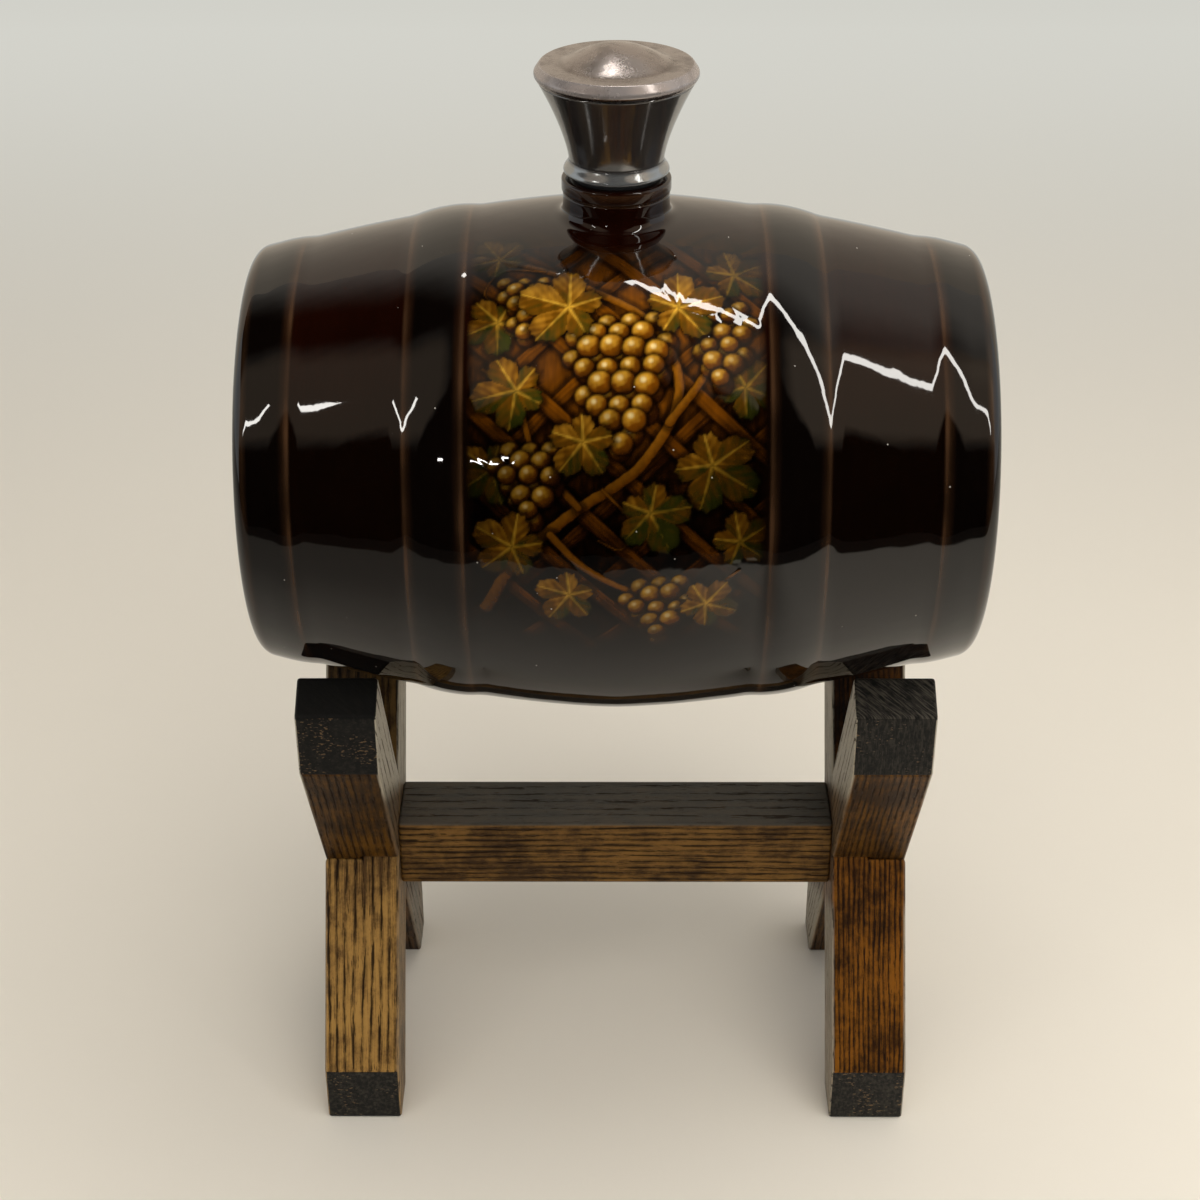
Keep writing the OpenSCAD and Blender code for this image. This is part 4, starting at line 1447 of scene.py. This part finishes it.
def build_stand(scene, finishes):
    """Makes the four bars and the stretcher with eased edges, and dresses the dowels."""
    look = scene.stand_look
    shaded_brown = (look.shaded_brown, look.shaded_brown_dark)
    tones = {
        "left_leg_front_foot": (look.golden, look.golden_dark),
        "left_leg_back_foot": shaded_brown,
        "right_leg_front_foot": (look.orange, look.orange_dark),
        "right_leg_back_foot": shaded_brown,
    }
    for seed, (node, bar) in enumerate(BARS.items(), 1):
        name = "oak_" + node
        mesh = eased_copy(name, node, look.edge)
        mark_ends(mesh, Vector((0, -bar.foot * math.sin(LEAN), math.cos(LEAN))))
        centre = (bar.hand * TRESTLE_X, 0, CROSS_Z)
        turn = (-bar.foot * LEAN, 0, 0)
        oak = finishes.oak(
            name, *tones[node], centre, turn, seed, bar.spacing, bar.top, bar.pores, bar.low, HIGH_GREY_AND_SHEEN
        )
        ends = finishes.oak_end(name + "_ends", END_CHIPS, bar.marks, 0.4 * bar.marks)
        wear = TOE_WEAR if bar.foot < 0 else NOSE_WEAR
        cuts = finishes.oak_end(name + "_cuts", bar.chips, 0.3 * bar.marks, wear)
        weigh_normals(add_piece(name, mesh, "stand", [node], [oak, ends, cuts]))
    middle = (0, 0, CROSS_Z)
    quarter = (0, -math.pi / 2, 0)
    mesh = eased_copy("oak_stretcher", "stretcher", look.edge)
    rail = finishes.oak(
        "oak_stretcher", look.rail, look.rail_dark, middle, quarter,
        seed=7.0, spacing=RAIL_SPACING, pores=0.85, dust_and_sheen=0.8,
    )
    weigh_normals(add_piece("oak_stretcher", mesh, "stand", ["stretcher"], [rail]))
    for seed, node in enumerate(("left_dowel", "right_dowel"), DOWEL_SEED):
        dowel = finishes.oak(node, look.dowel, look.rail, middle, quarter, seed, RAIL_SPACING)
        dress(node, dowel)


def weigh_normals(piece):
    """Keeps the flats flat and the eased edges round in shading."""
    modifier = piece.modifiers.new("flats", "WEIGHTED_NORMAL")
    modifier.keep_sharp = False
    modifier.weight = 80


def build_stage(scene, finishes):
    """Makes the floor and backdrop, the lights, the sky and the camera."""
    look = scene.stage_look
    sweep_stage(finishes)
    add_cove()
    overhead = add_light(
        "overhead", place=(0.15, -0.11, 0.95), target=(0, 0, 0.1), size=(1.3, 1.0),
        power=look.key, colour=(1.0, 0.955, 0.89),
    )
    front = add_light(
        "front", place=(0.30, -0.75, 0.75), target=(0, 0, 0.12), size=(0.5, 0.4),
        power=look.fill, colour=(1.0, 0.96, 0.9),
    )
    overhead.visible_glossy = False
    front.visible_glossy = False
    add_strip("right_strip", (-0.045, 0.100), (0.56, -0.444), look.strip)
    add_strip("left_strip", (-0.28, -0.262), (-0.56, -0.452), 0.5 * look.strip)
    add_light(
        "lamp", place=(-0.19, -0.50, 0.385), target=(-0.03, -0.05, 0.2), size=(0.035, 0.012),
        power=0.06, colour=(1, 0.98, 0.95),
    )
    add_sky(scene, look)
    add_camera(scene, look)


def sheet(name, outline, half_width, material):
    """A wide sheet along an outline of Y and Z."""
    verts = [(x, y, z) for y, z in outline for x in (-half_width, half_width)]
    faces = [(2 * i, 2 * i + 1, 2 * i + 3, 2 * i + 2) for i in range(len(outline) - 1)]
    mesh = bpy.data.meshes.new(name)
    mesh.from_pydata(verts, [], faces)
    mesh.materials.append(material)
    made = bpy.data.objects.new(name, mesh)
    bpy.context.scene.collection.objects.link(made)
    return made


def sweep_stage(finishes):
    """A floor that turns up into a backdrop behind the object."""
    front, bend_y, bend_r, top = -3.0, 0.95, 0.25, 1.8
    turn = np.linspace(0, math.pi / 2, 13)
    bend = [(bend_y + bend_r * math.sin(a), bend_r - bend_r * math.cos(a)) for a in turn]
    outline = [(front, 0.0), *bend, (bend_y + bend_r, top)]
    sweep = sheet("sweep", outline, half_width=2.5, material=finishes.sweep())
    for face in sweep.data.polygons:
        face.use_smooth = True


def add_cove():
    """A dark studio cove with a lit flat at each side, which only the gloss of the object sees."""
    front, bend, height, back = -0.56, 0.35, 1.2, 0.75
    turn = np.linspace(0, math.pi / 2, 9)
    curve = [(front + bend - bend * math.cos(a), height - bend + bend * math.sin(a)) for a in turn]
    outline = [(front, 0.0), *curve, (back, height)]
    cove = sheet("dark_cove", outline, half_width=1.8, material=cove_glow())
    cove.visible_camera = False
    cove.visible_diffuse = False
    cove.visible_shadow = False


def cove_glow():
    """The light of the cove: a top that brightens to the back, and warm flats at the sides of its front."""
    material = bpy.data.materials.new("dark_cove")
    material.use_nodes = True
    nodes = material.node_tree.nodes
    nodes.remove(nodes["Principled BSDF"])
    bench = Bench(material.node_tree)
    spot = bench.split(bench.add("ShaderNodeTexCoord").outputs["Object"])
    aside = abs(spot["X"])
    top = bench.ramp(spot["Y"] + 0.55 * spot["X"], -0.1, 0.65, 0.0, 0.7)
    skirt = 2.0 * (bench.math("MINIMUM", aside, FLAT_X) - FLAT_X)
    flats = bench.ramp(spot["Z"] + skirt, 0.44, 0.60) * bench.ramp(spot["Y"], -0.05, -0.35)
    flats = flats * bench.ramp(aside, 0.12, 0.36) * bench.ramp(spot["X"], -0.3, 0.3, 0.38, 0.55)
    tint = bench.mix(bench.ramp(flats, 0.0, 0.3), TOP_TINT, FLAT_TINT)
    shine = bench.add("ShaderNodeEmission", {"Color": tint, "Strength": top + flats + COVE_FLOOR})
    bench.put(nodes["Material Output"].inputs["Surface"], shine.outputs["Emission"])
    return material


def area_light(name, size, power, colour):
    """A rectangular light that is not yet in its place."""
    light = bpy.data.lights.new(name, "AREA")
    light.shape = "RECTANGLE"
    light.size, light.size_y = size
    light.energy = power
    light.color = colour
    lamp = bpy.data.objects.new(name, light)
    bpy.context.scene.collection.objects.link(lamp)
    return lamp


def add_light(name, place, target, size, power, colour):
    """A soft rectangular light that faces a target."""
    lamp = area_light(name, size, power, colour)
    lamp.location = place
    lamp.rotation_euler = (Vector(target) - Vector(place)).to_track_quat("-Z", "Y").to_euler()
    return lamp


def add_strip(name, start, end, power):
    """A long narrow light between two points of the plan, facing down."""
    start, end = Vector((*start, STRIP_Z)), Vector((*end, STRIP_Z))
    lamp = area_light(name, ((end - start).length, STRIP_W), power, STRIP_TINT)
    along = (end - start).normalized()
    up = Vector((0, 0, 1))
    turn = Matrix((along, up.cross(along), up)).transposed().to_4x4()
    lamp.matrix_world = Matrix.Translation((start + end) / 2) @ turn


def add_sky(scene, look):
    """An even pale surrounding, brighter where it is seen."""
    world = bpy.data.worlds.new("sky")
    world.use_nodes = True
    scene.world = world
    bench = Bench(world.node_tree)
    inputs = world.node_tree.nodes["Background"].inputs
    seen = bench.seen(bench.values("ShaderNodeLightPath"))
    bench.put(inputs["Color"], SKY_TINT)
    bench.put(inputs["Strength"], bench.ramp(seen, 0.0, 1.0, look.sky, SEEN_SKY))


def add_camera(scene, look):
    """The camera at the photograph's angle."""
    level = math.cos(look.pitch)
    forward = Vector((math.sin(look.yaw) * level, math.cos(look.yaw) * level, -math.sin(look.pitch)))
    right = forward.cross(Vector((0, 0, 1))).normalized()
    up = right.cross(forward)
    leaned_right = right * math.cos(look.roll) - up * math.sin(look.roll)
    leaned_up = up * math.cos(look.roll) + right * math.sin(look.roll)
    data = bpy.data.cameras.new("camera")
    data.sensor_fit = "HORIZONTAL"
    data.sensor_width = SENSOR_MM
    data.lens = SENSOR_MM * FOCAL_PX / FRAME_PX
    data.clip_start = 0.01
    camera = bpy.data.objects.new("camera", data)
    turn = Matrix((leaned_right, leaned_up, -forward)).transposed().to_4x4()
    camera.matrix_world = Matrix.Translation(Vector(look.camera)) @ turn
    scene.collection.objects.link(camera)
    scene.camera = camera
    scene.view_settings.view_transform = "Standard"


class BARREL_OT_body(Operator):
    """Builds the glazed barrel"""

    bl_idname = "barrel.body"
    bl_label = "Barrel"

    def execute(self, context):
        build_barrel(context.scene, Finishes(context.scene))
        return {"FINISHED"}


class BARREL_OT_stopper(Operator):
    """Builds the stopper and its cork"""

    bl_idname = "barrel.stopper"
    bl_label = "Stopper"

    def execute(self, context):
        build_stopper(context.scene, Finishes(context.scene))
        return {"FINISHED"}


class BARREL_OT_stand(Operator):
    """Builds the oak stand"""

    bl_idname = "barrel.stand"
    bl_label = "Stand"

    def execute(self, context):
        build_stand(context.scene, Finishes(context.scene))
        return {"FINISHED"}


class BARREL_OT_stage(Operator):
    """Builds the floor, lights and camera"""

    bl_idname = "barrel.stage"
    bl_label = "Stage"

    def execute(self, context):
        build_stage(context.scene, Finishes(context.scene))
        return {"FINISHED"}


OPERATORS = (BARREL_OT_body, BARREL_OT_stopper, BARREL_OT_stand, BARREL_OT_stage)
LOOKS = {
    "barrel_look": BarrelLook,
    "stopper_look": StopperLook,
    "stand_look": StandLook,
    "stage_look": StageLook,
}


class BARREL_PT_sidebar(Panel):
    """Lists the looks and the steps"""

    bl_idname = "BARREL_PT_sidebar"
    bl_label = "Spirit Barrel"
    bl_space_type = "VIEW_3D"
    bl_region_type = "UI"
    bl_category = "Barrel"

    def draw(self, context):
        for name, operator in zip(LOOKS, OPERATORS):
            box = self.layout.box()
            look = getattr(context.scene, name)
            for key in look.__annotations__:
                box.prop(look, key)
            box.operator(operator.bl_idname)


CLASSES = (*LOOKS.values(), *OPERATORS, BARREL_PT_sidebar)


def register():
    """Makes the classes and the scene's settings known to Blender."""
    for item in CLASSES:
        bpy.utils.register_class(item)
    for name, look in LOOKS.items():
        setattr(bpy.types.Scene, name, PointerProperty(type=look))


def unregister():
    """Takes the settings and the classes away again."""
    for name in LOOKS:
        delattr(bpy.types.Scene, name)
    for item in reversed(CLASSES):
        bpy.utils.unregister_class(item)


def main():
    """Builds every piece and the stage."""
    register()
    bpy.ops.barrel.body()
    bpy.ops.barrel.stopper()
    bpy.ops.barrel.stand()
    bpy.ops.barrel.stage()


if __name__ == "__main__":
    main()
